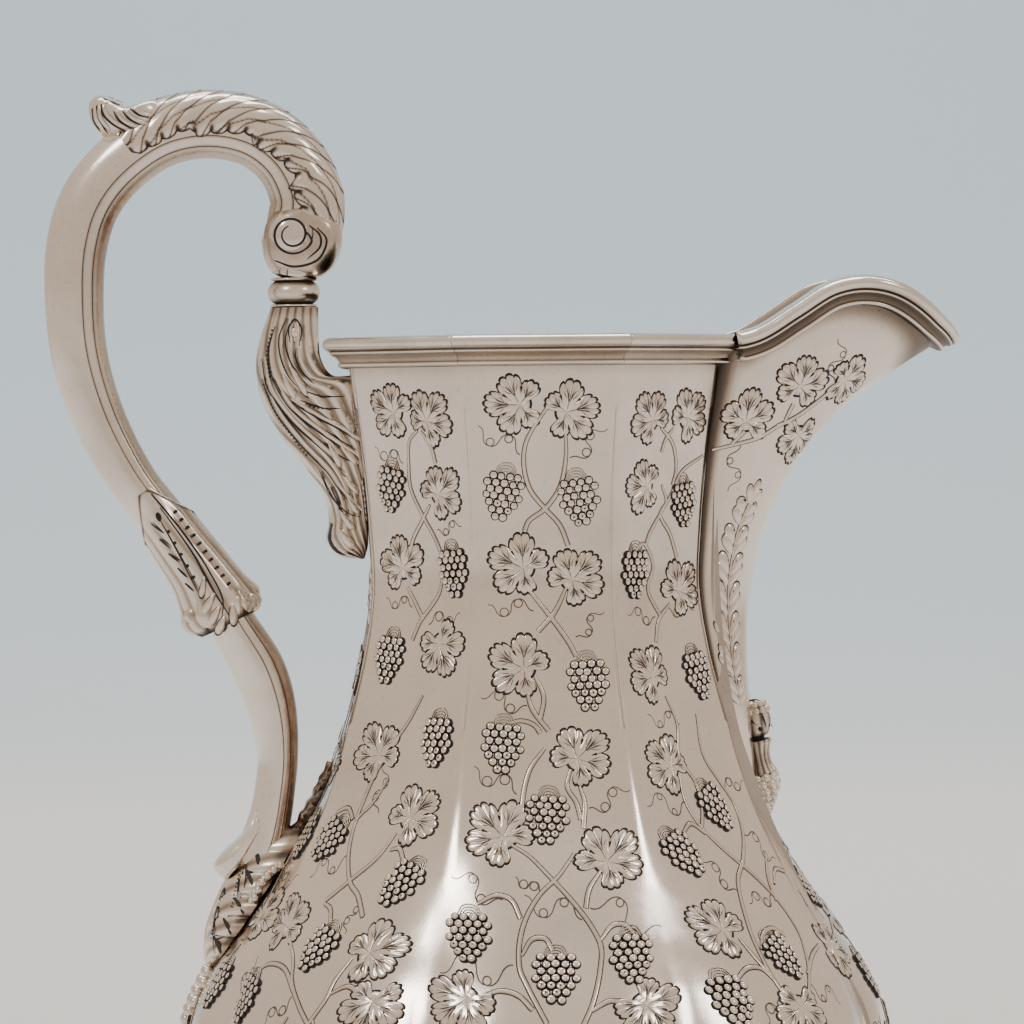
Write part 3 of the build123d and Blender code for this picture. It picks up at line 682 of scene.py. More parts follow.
def add_bunch(relief, place, heading=180.0, size=1.0, rows=BUNCH_ROWS):
    """A tapering bunch of round berries under a few arched stems; painted shade darkens each berry's sides
    and rings it.
    """
    angle = math.radians(heading + 180)
    down = np.array([-math.sin(angle), -math.cos(angle)])
    side = np.array([math.cos(angle), -math.sin(angle)])
    pitch = BERRY_PITCH * size
    drop = BERRY_DROP * size
    start = -(len(rows) - 1) / 2 * drop
    around = np.linspace(0, 2 * math.pi, 13)
    tilt = np.linspace(0, 1, 7)[:, None]
    for row, count in enumerate(rows):
        for column in range(count):
            jitter = [relief.random.uniform(-0.16, 0.16) for _ in range(2)]
            sideways = (column - (count - 1) / 2) * pitch + jitter[0]
            along = start + row * drop + jitter[1]
            centre = down * along + side * sideways
            radius = BERRY_RADIUS * size * relief.random.uniform(0.92, 1.08)
            rim = abs(sideways) / (2.6 * pitch)
            pillow = BUNCH_CROWN * size * max(0.0, 1 - rim ** 2) * (1 - 0.45 * row / len(rows))
            spread = np.sin(tilt * math.pi / 2)
            rise = BERRY_RISE * radius * np.cos(tilt * math.pi / 2)
            spot = centre + (np.stack([np.cos(around), np.sin(around)], axis=-1)[None]
                             * (spread * radius)[..., None])
            lift = pillow + rise + 0 * around[None, :] + 0.08
            points = relief.sheet.around(place, spot[..., 0], spot[..., 1], lift)
            # Painted shade down each berry's sides.
            tone = np.broadcast_to(step(0.50, 0.64, tilt), lift.shape)
            relief.grapes.grid(points, tone, flip=relief.sheet.mirror > 0)
            # Painted shadow: a dark ring round each berry where it meets the sheet.
            skirt = np.array([0.90, 0.98, 1.05, 1.10])[:, None]
            shadow = np.stack([np.cos(around), np.sin(around)], axis=-1)[None] * (skirt * radius)[..., None]
            ring = centre + shadow
            skirt_lift = (pillow + np.array([0.18, 0.11, 0.04, -0.35]))[:, None] + 0 * around[None, :]
            points = relief.sheet.around(place, ring[..., 0], ring[..., 1], skirt_lift)
            relief.lines.grid(points, np.full(skirt_lift.shape, 0.97), flip=relief.sheet.mirror > 0)
            if row >= len(rows) - 3 and relief.random.random() < 0.5:
                dot = centre + np.stack([np.cos(around), np.sin(around)], axis=-1)[None] \
                    * (np.array([0.0, 1.0])[:, None] * 0.24)[..., None]
                dot_lift = np.full(dot.shape[:2], pillow + BERRY_RISE * radius + 0.10)
                points = relief.sheet.around(place, dot[..., 0], dot[..., 1], dot_lift)
                relief.lines.grid(points, np.full(dot_lift.shape, 0.95), flip=relief.sheet.mirror > 0)
    top = start - 0.9 * drop
    for stem in range(4):
        reach = (2.9 - 0.55 * stem) * size
        curve = np.array([[-reach, top + 1.4], [-0.55 * reach, top - 1.5 + 0.62 * stem],
                          [0.45 * reach, top - 1.6 + 0.66 * stem], [reach, top + 1.2]])
        line = curve_through(curve, 0.3)
        flat_line = line[:, 0:1] * side + line[:, 1:2] * down
        ribbon(relief, np.array(place), flat_line, 0.30 * size)



def ribbon(relief, origin, line, width):
    """A thin raised stem with a dark line down each edge, laid along a path about an origin."""
    ahead = unit(np.gradient(line, axis=0))
    square = np.stack([ahead[:, 1], -ahead[:, 0]], axis=1)
    offsets = np.array([-0.72, -0.5, -0.34, 0.0, 0.34, 0.5, 0.72]) * width
    lifts = np.array([-0.03, 0.05, 0.30, 0.42, 0.30, 0.05, -0.03]) * (0.6 + width * 0.5)
    tones = np.array([0.9, 1.0, 0.25, 0.0, 0.25, 1.0, 0.9])
    spot = line[:, None, :] + square[:, None, :] * offsets[None, :, None]
    lift = np.broadcast_to(lifts, spot.shape[:2])
    points = relief.sheet.around(origin, spot[..., 0], spot[..., 1], lift)
    relief.lines.grid(points, np.broadcast_to(tones, lift.shape), flip=relief.sheet.mirror < 0)


def add_vine(relief, points, width=1.15):
    """A raised vine between two dark chased lines, through places on the sheet."""
    path = curve_through(points, 0.7)
    share = np.linspace(0, 1, len(path))[:, None]
    ahead = unit(np.gradient(path, axis=0))
    square = np.stack([ahead[:, 1], -ahead[:, 0]], axis=1)
    taper = 0.55 + 0.45 * np.sin(np.clip(share * 1.4 + 0.15, 0, 1) * math.pi / 2)
    offsets = np.array([-0.66, -0.47, -0.33, 0.0, 0.33, 0.47, 0.66]) * width * taper
    lifts = np.array([-0.03, 0.04, 0.16, 0.24, 0.16, 0.04, -0.03])
    tones = np.array([0.85, 0.96, 0.22, 0.0, 0.22, 0.96, 0.85])
    right = path[:, 0:1] + square[:, 0:1] * offsets
    up = path[:, 1:2] + square[:, 1:2] * offsets
    mesh = relief.sheet.point(right, up, np.broadcast_to(lifts, right.shape))
    relief.lines.grid(mesh, np.broadcast_to(tones, right.shape), flip=relief.sheet.mirror < 0)


def add_tendril(relief, start, end, loops=2, swing=1.0):
    """A fine chased tendril from start to end: gentle waves with a full round loop between each two."""
    start, end = np.array(start, float), np.array(end, float)
    run = end - start
    length = float(np.linalg.norm(run))
    radius = relief.random.uniform(0.55, 0.85)
    pace = 0.2
    headings = []
    for wave in range(loops + 1):
        way = swing * (-1) ** wave
        count = max(5, int(length / (loops + 1) / pace))
        headings += list(way * 1.30 * np.sin(np.linspace(0, math.pi, count)))
        if wave < loops:
            headings += list(-way * np.linspace(0, 2 * math.pi, int(2 * math.pi * radius / pace)))
    headings = np.array(headings)
    path = np.cumsum(np.stack([np.cos(headings), np.sin(headings)], axis=1) * pace, axis=0)
    path = path - path[0]
    reach = path[-1]
    stretch = run * reach[0] + np.array([run[1], -run[0]]) * reach[1]
    turn = np.array([[stretch[0], -stretch[1]], [stretch[1], stretch[0]]]) / float(reach @ reach)
    path = start + path @ turn.T
    share = np.linspace(0, 1, len(path))
    ahead_path = unit(np.gradient(path, axis=0))
    square_path = np.stack([ahead_path[:, 1], -ahead_path[:, 0]], axis=1)
    width = 0.13 * (1 - 0.4 * share)[:, None] + 0.06
    offsets = np.array([-1.0, 0.0, 1.0]) * width
    right = path[:, 0:1] + square_path[:, 0:1] * offsets
    up = path[:, 1:2] + square_path[:, 1:2] * offsets
    lift = np.broadcast_to(np.array([-0.01, 0.06, -0.01]), right.shape)
    mesh = relief.sheet.point(right, up, lift)
    relief.lines.grid(mesh, np.full(right.shape, 0.72), flip=relief.sheet.mirror < 0)


def add_petal(relief, base, heading, length, width, height):
    """One raised lobe of a frond with a dark line round its outer end."""
    angle = math.radians(heading)
    ahead = np.array([math.sin(angle), math.cos(angle)])
    side = np.array([math.cos(angle), -math.sin(angle)])
    around = np.linspace(0, 2 * math.pi, 25)

    def spots(turns, reach):
        along = length * (0.5 + 0.5 * np.cos(turns) * reach)
        across = width / 2 * np.sin(turns) * reach * (0.8 + 0.3 * np.cos(turns))
        return base + along[..., None] * ahead + across[..., None] * side

    turns, reach = np.meshgrid(around, np.linspace(0, 1, 6))
    lift = height * np.sqrt(np.clip(1 - reach ** 2, 0, 1)) + 0.02
    points = relief.sheet.point(spots(turns, reach)[..., 0], spots(turns, reach)[..., 1], lift)
    relief.leaves.grid(points, 0.12 * reach ** 4, flip=relief.sheet.mirror < 0)
    rim = np.linspace(-2.3, 2.3, 25)
    turns, reach = np.meshgrid(rim, [0.96, 1.04, 1.13])
    reach = 1 + (reach - 1) * (1 - 0.55 * np.abs(turns) / 2.3)
    rim_lift = np.array([0.10, 0.07, -0.02])[:, None] + 0 * turns
    points = relief.sheet.point(spots(turns, reach)[..., 0], spots(turns, reach)[..., 1], rim_lift)
    relief.lines.grid(points, np.full(turns.shape, 0.92), flip=relief.sheet.mirror < 0)


def add_dot(relief, place, radius, lift=0.1):
    """A small dark punched dot."""
    around = np.linspace(0, 2 * math.pi, 11)
    reach = np.array([0.0, 1.0])[:, None] * radius
    right = place[0] + reach * np.sin(around)[None, :]
    up = place[1] + reach * np.cos(around)[None, :]
    points = relief.sheet.point(right, up, np.full(right.shape, lift))
    relief.lines.grid(points, np.ones(right.shape), flip=relief.sheet.mirror < 0)


def add_frond(relief, stem, lobes, reach):
    """An upright acanthus frond: paired lobes up a stem, each with a punch and a row of fine dots."""
    line = curve_through(stem, 0.5)
    ahead = unit(np.gradient(line, axis=0))
    add_vine(relief, stem, 0.8)
    for lobe in range(lobes):
        share = lobe / lobes
        place = line[int(share * (len(line) - 1))]
        forward = ahead[int(share * (len(line) - 1))]
        lean = math.degrees(math.atan2(forward[0], forward[1]))
        grow = reach * (0.75 + 0.35 * math.sin(math.pi * min(1.0, share + 0.15)))
        for side in (-1, 1):
            outward = np.array([forward[1], -forward[0]]) * side
            add_petal(relief, place + outward * 0.3, lean + side * 33, grow * 2.5, 3.4, 0.5)
            add_petal(relief, place + outward * 0.5 + forward * 2.4, lean + side * 27, grow * 2.4, 3.4, 0.6)
            punch = place + outward * 1.5 + forward * 6.0
            add_dot(relief, punch, 0.38, 0.5)
            for dot in range(4):
                add_dot(relief, punch - forward * (0.9 + 0.7 * dot) - outward * 0.12 * (dot + 1), 0.13,
                        0.35)
    tip = line[-1]
    lean = math.degrees(math.atan2(ahead[-1][0], ahead[-1][1]))
    for turn, length in ((-26, 5.0), (24, 5.0), (0, 6.5)):
        add_petal(relief, tip - ahead[-1] * 2.5, lean + turn, length, 2.4, 0.5)


# Where the ornament lies. Millimetres across the face from its middle line, height above the table,
# and, for leaves and bunches, the direction of the tip in degrees clockwise from straight up.
FRONT_FACE = {
    "leaves": [(-6.6, 236, -90, 8.2), (7.7, 234.5, 76, 8.0), (-5.9, 197.5, -65, 8.4), (8.5, 195, 45, 8.2),
               (-6.1, 173.5, -60, 8.4), (8.9, 152.5, 45, 8.6), (-11.7, 135, -40, 9.6), (14.8, 129, 42, 9.4),
               (-21.3, 97.5, -130, 9.4), (21.6, 95.5, 140, 9.4)],
    "bunches": [(-9.3, 214, 190, 0.95), (9.3, 212.5, 172, 0.95), (10.8, 168.5, 178, 1.0),
                (-10.1, 154, 185, 1.0),
                (0, 137.5, 186, 1.02), (-19.1, 111.5, 183, 1.05), (0.4, 103, 182, 1.05),
                (18.1, 106.5, 180, 1.05)],
    "vines": [[(2, 236), (-3.5, 227), (-4, 221), (-2.5, 215.5), (1, 211), (4.5, 207), (6.5, 202)],
              [(6, 229), (6, 223), (4.5, 216), (1, 211), (-3, 208), (-4, 205.5)],
              [(-3.5, 192), (2, 185), (6.5, 178.5), (8, 175.5)], [(6, 192), (3, 186), (-1, 181.5)],
              [(-4, 168), (-3, 163.5), (1, 158)], [(-2, 171), (0, 166), (-1, 160.5)],
              [(-8.5, 160), (-5.5, 160.5), (-2.5, 159.5), (-1, 157.5)],
              [(0, 154), (-3.5, 149.5), (-5, 145.5), (-6, 140)],
              [(6, 149), (5, 145), (7, 141.5), (8, 137.5)],
              [(8, 145), (9, 141.5), (8.5, 135.5)],
              [(-8.5, 132), (-4.5, 129.5), (0, 125), (5, 119.5), (9, 114), (11, 109.5), (10.5, 105),
               (8.5, 98), (5.5, 92)],
              [(6, 130), (2, 125), (-2.5, 121), (-6, 115.5), (-7.5, 110), (-7.5, 105), (-6, 101.5),
               (-2, 93.5)],
              [(12, 126), (9, 122), (8, 118)], [(-17, 119), (-12.5, 121), (-9, 120), (-7, 116)],
              [(-7, 108), (-4.5, 111.5), (-1.5, 111.5), (0, 109)],
              [(11, 111), (14, 114), (17, 114), (19, 112)],
              [(-17, 99), (-12, 100.5), (-8, 99.5), (-5, 96.5)], [(8, 96), (12.5, 98), (17, 96.5)]],
    "tendrils": [((-5, 224), (-15, 231)), ((7, 223), (16, 230)), ((-2, 186.5), (-13, 188)),
                 ((8, 180), (15, 186)),
                 ((-4, 164), (-15, 166)), ((-7, 143.5), (-17, 150)), ((10, 140), (20, 144)),
                 ((-11, 120), (-23, 125)),
                 ((7, 115.5), (-6, 121)), ((9, 118), (26, 113)), ((-9, 106), (-26, 104)),
                 ((-2, 121.5), (-8, 125))],
}
HANDLE_WARD_FACE = {
    "leaves": [(-6.4, 235, -65, 7.8), (6.8, 233.5, 40, 8.0), (8.5, 215.5, 50, 7.6), (-6.4, 198, -10, 8.0),
               (8.2, 177, 150, 8.2), (-7.7, 152.5, -35, 8.6), (10, 138.5, 44, 8.8), (-19.3, 112, -20, 9.2),
               (13.8, 108, 65, 9.2), (17.8, 95.5, 180, 9.0)],
    "bunches": [(-8.7, 215.5, 190, 0.92), (10.8, 195.5, 175, 0.95), (-9, 174, 185, 0.95),
                (11, 155, 178, 1.0),
                (-16.4, 130.5, 212, 1.0), (12.6, 122.5, 205, 1.0), (-3.5, 107, 200, 1.0),
                (-24.5, 93.5, 185, 1.0)],
    "vines": [[(2, 230), (-1, 227.5), (-2, 222), (-2, 216), (1, 210), (5, 204), (7, 200)],
              [(3, 230), (6, 226), (7, 222)], [(4, 212), (1, 208), (-2, 204), (-3, 202)],
              [(-5, 192), (-2, 188), (1, 184)], [(7, 196), (6, 191), (3, 187), (0, 183.5), (-2, 179)],
              [(4, 166), (1, 160), (-3, 154), (-7, 146), (-9, 136)],
              [(-2, 146), (-5, 140), (-8.5, 136), (-8, 131.5), (-6, 127), (-2, 122), (2, 119.5), (6, 115)],
              [(6, 134), (3, 128), (-2, 123), (-8, 117.5)], [(6, 130), (8.5, 130.5), (11, 128)],
              [(-8, 117), (-5, 116), (-3, 113)], [(-15, 108), (-10, 104), (-7, 99.5), (-2, 95), (3, 91)],
              [(-25, 99), (-20, 102), (-12, 102), (-5, 97.5)], [(8, 106), (6, 101), (5.5, 97), (3, 91)],
              [(6, 98), (10, 100), (15, 98)], [(-17, 137), (-13, 138.5), (-10, 136)]],
    "tendrils": [((-2, 138), (-5, 149)), ((-7, 128), (-18, 122)), ((2, 119), (3, 111)),
                 ((-28, 103), (-31, 94)),
                 ((-5, 96.5), (-12, 89)), ((3, 183), (13, 186)), ((-4, 222), (-13, 226)),
                 ((6, 206), (14, 207)),
                 ((-3, 187), (-12, 189))],
}
SPOUT_WARD_FACE = {
    "leaves": [(-5.9, 233, -40, 7.8), (9.3, 233.5, 45, 7.8), (-6.5, 216, -88, 7.4), (9.5, 191, 45, 7.8),
               (-6.8, 171, -40, 8.2), (-7.7, 149.5, -45, 8.6), (-13.3, 112, -55, 9.2), (0.5, 91, 190, 9.2)],
    "bunches": [(9.7, 211, 172, 0.9), (-7.8, 194.5, 182, 0.95), (11.7, 169, 172, 0.95),
                (5.2, 137.5, 160, 1.0),
                (-12.3, 128.3, 155, 1.0), (3.4, 103.5, 157, 1.0), (-18, 95.5, 178, 1.1)],
    "vines": [[(-1, 230), (4, 226), (6, 220), (5, 216)], [(4, 230), (1, 227), (0, 224)],
              [(16, 223), (8, 219), (5, 214), (1, 209), (-3, 204), (-4, 201)],
              [(1, 216), (3, 212), (1, 209), (5, 204), (8, 198)],
              [(-8, 200), (-5, 202), (-2, 199), (-1, 196), (-3, 191), (1, 184)],
              [(5, 187), (0, 183), (-2, 178)],
              [(-2, 165), (0, 158), (-2, 150), (1, 144), (0, 138), (-3, 133.5)],
              [(8, 160), (7, 150), (10, 144), (13, 138), (12, 132), (7, 126), (1, 121.5), (-1, 118),
               (-3, 112), (-4, 107), (-4, 100), (-2, 94)],
              [(-4, 146), (-5, 140), (-3, 134), (1.5, 128), (8, 121.5), (13, 115), (15, 108), (12, 102),
               (6, 95)],
              [(-10, 133), (-6, 135), (-2.5, 132.5)], [(18, 126), (13, 120), (12, 115.5)],
              [(15, 119), (19, 122), (24, 121)],
              [(-8, 109), (-6, 104), (-4.5, 101)], [(-15, 100), (-10, 102.5), (-6, 102), (-4, 99.5)],
              [(-3, 106), (0, 109), (4.5, 110), (8, 108)], [(23, 104), (15.5, 102.5), (9, 99)]],
    "tendrils": [((-5, 140), (-18, 140)), ((-1, 119), (-8, 127)), ((11, 117), (1, 116)),
                 ((12, 131), (22, 124)),
                 ((11, 142), (20, 143)), ((8, 97), (19, 91)), ((-3, 97), (-11, 90)), ((4, 186), (14, 185)),
                 ((-1, 184), (-11, 185)), ((1, 158), (-10, 161))],
}
SPOUT_FACE = {
    "leaves": [(-7.5, 128, -35, 7.6), (-25.5, 101.5, 110, 9.0), (-6.5, 107, 170, 8.0)],
    "bunches": [(-14.6, 115, 145, 1.0), (-11, 93, 180, 1.0)],
    "vines": [[(-4, 134), (-5, 127), (-3, 120), (-6, 112), (-4, 103), (-2, 92)],
              [(-5, 122), (-10, 123), (-14, 121)],
              [(-3, 106), (-12, 107), (-20, 104)]],
    "tendrils": [((-5, 118), (-1.5, 126)), ((-18, 108), (-24, 116))],
}
HANDLE_FACE = {
    "leaves": [(-11.5, 234, -15, 6.6), (-10.5, 190, -30, 7.0), (-14, 150, -35, 8.0), (-19, 112, -25, 9.0)],
    "bunches": [(-11.6, 213, 182, 0.85), (-11, 170, 184, 0.9), (-16, 130, 190, 1.0), (-17, 94, 182, 1.0)],
    "vines": [[(-8.5, 226), (-8, 217), (-7.5, 206), (-8, 196)],
              [(-8, 182), (-6.5, 172), (-8, 160), (-11, 152)],
              [(-12, 143), (-9.5, 134), (-12, 122), (-15, 114)], [(-16, 104), (-13, 98), (-12, 90)],
              [(-8.5, 219), (-11, 222), (-12.5, 220)], [(-7, 177), (-10, 179), (-11.5, 177)]],
    "tendrils": [((-8, 205), (-15, 201)), ((-8, 163), (-16, 160)), ((-14, 118), (-25, 122))],
}
# Below the widest part the same pattern runs on, a leaf or a bunch at a time, and closes in to the foot.
LOWER_FACE = {
    "leaves": [(-13.5, 74, -150, 9.0), (14, 73, 150, 9.0), (0, 60, 180, 8.4)],
    "bunches": [(0, 79, 180, 1.0), (-20, 58, 175, 0.95), (20, 58, 185, 0.95)],
    "vines": [[(-4, 92), (-7, 86), (-9, 80), (-11, 74)], [(4, 92), (7, 86), (9, 80), (11, 74)],
              [(-7, 85), (-3, 80), (4, 72), (1, 62)], [(-10, 70), (-14, 64), (-18, 64)],
              [(10, 70), (14, 64), (18, 64)]],
    "tendrils": [((-10, 66), (-8, 54)), ((10, 66), (8, 54)), ((-18, 84), (-27, 80)), ((18, 84), (27, 80))],
}
SPOUT_CHEEK = {
    "leaves": [(8.5, 232.8, 0, 7.6), (21.3, 241.3, 10, 7.6), (34.2, 241.3, 95, 6.6),
               (24.2, 226.3, 178, 6.8)],
    "bunches": [],
    "vines": [[(-0.5, 224), (6.6, 225.6), (12.6, 227.2), (17, 229.8), (22.5, 232.6), (28, 236.8),
               (32, 240.6)],
              [(5.7, 225.7), (8.6, 228.8)], [(18.9, 231.2), (20.3, 235.4)],
              [(17, 230.3), (20.5, 230.9), (23.5, 229.4)]],
    "tendrils": [((8.1, 225.3), (6.2, 214)), ((30.4, 240.6), (28.6, 251.3))],
}
FROND_STEM = [(6.0, 160.8), (6.5, 173), (7.5, 184.5), (8.6, 195), (10.3, 205), (13.6, 213)]


def mirrored_pair(layout):
    """The layout together with its mirror image across the face's middle line."""
    return {
        "leaves": [entry for across, height, heading, size in layout["leaves"]
                   for entry in ((across, height, heading, size), (-across, height, -heading, size))],
        "bunches": [entry for across, height, heading, size in layout["bunches"]
                    for entry in ((across, height, heading, size), (-across, height, -heading, size))],
        "vines": [[(sign * across, height) for across, height in vine]
                  for vine in layout["vines"] for sign in (1, -1)],
        "tendrils": [((sign * start[0], start[1]), (sign * end[0], end[1]))
                     for start, end in layout["tendrils"] for sign in (1, -1)],
    }


def lay_out(relief, layout):
    """Everything in one layout, from the vines up to the grapes."""
    for vine in layout["vines"]:
        add_vine(relief, vine)
    for start, end in layout["tendrils"]:
        add_tendril(relief, start, end, swing=relief.random.choice((-1, 1)))
    for across, height, heading, size in layout["leaves"]:
        add_leaf(relief, (across, height), heading, size)
    for across, height, heading, size in layout["bunches"]:
        add_bunch(relief, (across, height), heading, size)


def make_chasing():
    """The grapevine on every face of the body and on both cheeks of the spout."""
    pieces = []
    faces = {0: mirrored_pair(SPOUT_FACE), 1: SPOUT_WARD_FACE, 2: FRONT_FACE, 3: HANDLE_WARD_FACE,
             4: mirrored_pair(HANDLE_FACE), 5: HANDLE_WARD_FACE, 6: FRONT_FACE, 7: SPOUT_WARD_FACE}
    for side, layout in faces.items():
        relief = Relief(Panel(side), 40 + side)
        lay_out(relief, layout)
        lay_out(relief, LOWER_FACE)
        pieces += relief.build(f"chased_face_{side}")
    for name, sign in (("right", -1), ("left", 1)):
        relief = Relief(SpoutCheek(sign), 60 + sign)
        lay_out(relief, SPOUT_CHEEK)
        add_frond(relief, FROND_STEM, 7, 2.6)
        pieces += relief.build(f"chased_spout_{name}")


# ---- mouldings ----------------------------------------------------------------

# Across the moulding, from the inner lip over the ovolo and down: stand-out, height from the top, and
# tarnish, which inside the lip and under the bead is painted shade.
RIM_PROFILE = [
    (-1.1, -6.0, 0.5), (-1.1, -0.5, 0.15), (-0.8, 0.1, 0.05), (0.0, 0.35, 0.0), (3.6, 0.25, 0.0),
    (4.3, 0.0, 0.1),
    (4.9, -0.3, 0.0), (5.35, -0.8, 0.0), (5.5, -1.4, 0.0), (5.4, -2.0, 0.0), (5.0, -2.5, 0.04),
    (4.5, -2.8, 0.2),
    (3.9, -2.95, 0.65), (3.8, -3.15, 0.7), (4.0, -3.3, 0.2), (4.1, -3.5, 0.0), (4.0, -3.75, 0.04),
    (3.6, -3.95, 0.3),
    (2.9, -4.3, 0.36), (2.3, -4.9, 0.34), (2.0, -5.5, 0.30), (2.0, -5.9, 0.25), (2.4, -6.1, 0.05),
    (2.6, -6.45, 0.0),
    (2.4, -6.85, 0.0), (1.8, -7.05, 0.3), (0.6, -7.2, 0.7), (-0.4, -7.3, 0.75),
]
# How much darker the spout's moulding is than the neck's: deeper tarnish and painted shade.
SPOUT_RIM_TARNISH_AND_SHADE = 1.9


def neck_path():
    """Eight-sided path round the neck from seam to seam, with slightly rounded mitres."""
    path = []
    for side in range(1, SIDES):
        for share in np.concatenate([[-1, -0.985, -0.965], np.linspace(-0.9, 0.9, 13), [0.965, 0.985, 1]]):
            path.append((side, share))
    return path


def make_neck_rim():
    """The stepped moulding round seven sides of the neck."""
    path = neck_path()
    rows = []
    tones = []
    for stand_out, drop, tone in RIM_PROFILE:
        row = []
        for side, share in path:
            height = NECK_TOP + drop
            face = face_at(min(height, NECK_TOP)) + stand_out
            heading = side * 2 * HALF_SIDE
            sideways = face * math.tan(HALF_SIDE) * share
            rounding = 0.16 * max(0.0, (abs(share) - 0.955) / 0.045) ** 2
            reach = face - rounding
            row.append((reach * math.cos(heading) - sideways * math.sin(heading),
                        reach * math.sin(heading) + sideways * math.cos(heading), height))
        rows.append(row)
        tones.append([tone] * len(path))
    moulding = Patchwork()
    moulding.grid(np.array(rows), np.array(tones), flip=True)
    rim = weld(moulding.build("neck_rim", MOULDED))
    close_ends(rim)
    return rim


def close_ends(piece):
    """Fills every open loop of a swept strip. The strip's back is open too, so faces also span the mouth."""
    import bmesh
    work = bmesh.new()
    work.from_mesh(piece.data)
    bmesh.ops.holes_fill(work, edges=[edge for edge in work.edges if edge.is_boundary], sides=0)
    bmesh.ops.recalc_face_normals(work, faces=work.faces)
    work.to_mesh(piece.data)
    work.free()


def make_spout_rim():
    """The same moulding carried round the spout's arched edge."""
    turn = np.linspace(-1, 1, 161) * math.pi / 2 * 0.995
    top = spout_top(turn)
    edge = spout_raw(turn, top)
    ahead = unit(np.gradient(edge, axis=0))
    east = spout_raw(turn + 0.01, top) - spout_raw(turn - 0.01, top)
    north = spout_raw(turn, top + 0.3) - spout_raw(turn, top - 0.3)
    outward = unit(np.cross(east, north))
    down = unit(np.cross(outward, ahead)) * -1
    down = np.where((down[:, 2:3] > 0), -down, down)
    tip = np.cos(turn)[:, None] ** 6
    rows = []
    for stand_out, drop, _ in RIM_PROFILE:
        keep = 1 - 0.25 * tip
        rows.append(edge + outward * stand_out * keep + down * -drop * keep)
    tones = np.array([[min(1.0, tone * SPOUT_RIM_TARNISH_AND_SHADE)] * len(turn) for _, _, tone in RIM_PROFILE])
    moulding = Patchwork()
    moulding.grid(np.array(rows), tones)
    rim = weld(moulding.build("spout_rim", MOULDED))
    close_ends(rim)
    return rim


# ---- handle -------------------------------------------------------------------

def scroll_frame(stations, spacing=0.8):
    """Places along a scroll with its width, its outward direction and its heading."""
    line = curve_through([(x, z, w) for x, z, w in stations], spacing)
    ahead = np.gradient(line[:, :2], axis=0)
    ahead = ahead / np.linalg.norm(ahead, axis=1, keepdims=True)
    outward = np.stack([-ahead[:, 1], ahead[:, 0]], axis=1)
    return line, ahead, outward


# Round one half of the handle's section, from its outer edge to its inner edge:
# share of the width, share of the depth and tarnish. Two incised lines run along it.
HANDLE_SECTION = [
    (0.0, 0.0, 0.0), (0.008, 0.14, 0.0), (0.03, 0.30, 0.0), (0.065, 0.46, 0.0), (0.115, 0.60, 0.0),
    (0.18, 0.735, 0.0),
    (0.26, 0.845, 0.0), (0.35, 0.925, 0.0), (0.45, 0.975, 0.0), (0.55, 1.0, 0.0), (0.635, 0.99, 0.0),
    (0.65, 0.985, 0.25),
    (0.661, 0.945, 0.95), (0.672, 0.965, 0.25), (0.70, 0.955, 0.03), (0.78, 0.90, 0.03), (0.815, 0.87, 0.2),
    (0.826, 0.82, 0.95), (0.838, 0.81, 0.3), (0.87, 0.76, 0.12), (0.92, 0.62, 0.18), (0.96, 0.46, 0.25),
    (0.985, 0.28, 0.3), (1.0, 0.0, 0.3),
]


def make_scroll(name, stations):
    """Two hollow half scrolls, meeting at the pitcher's mid plane."""
    line, _, outward = scroll_frame(stations)
    pieces = []
    share = np.array([row[0] for row in HANDLE_SECTION])
    depth = np.array([row[1] for row in HANDLE_SECTION]) * HANDLE_DEPTH / 2
    tone = np.array([row[2] for row in HANDLE_SECTION])
    for side, sign in (("right", -1), ("left", 1)):
        reach = (share - 0.5)[None, :] * line[:, 2:3]
        x = line[:, 0:1] + outward[:, 0:1] * reach
        z = line[:, 1:2] + outward[:, 1:2] * reach
        y = np.broadcast_to(depth * sign, x.shape)
        inner = step(0.68, 0.80, share)[None, :]
        low = step(-190, -150, -z) * inner
        crown = np.exp(-((x + 103) / 9) ** 2) * np.exp(-((z - 283) / 13) ** 2) * step(0.80, 0.93,
                                                                                      share)[None, :]
        half = Patchwork()
        half.grid(np.stack([x, y, z], axis=-1), tone[None, :] + 0.14 * low, warms=0.75 * low + 0.8 * crown,
                  flip=sign > 0)
        piece = weld(half.build(f"{name}_{side}", CAST))
        pieces.append(thicken(piece, 1.2))
    return pieces


# ---- handle ornament ---------------------------------------------------------

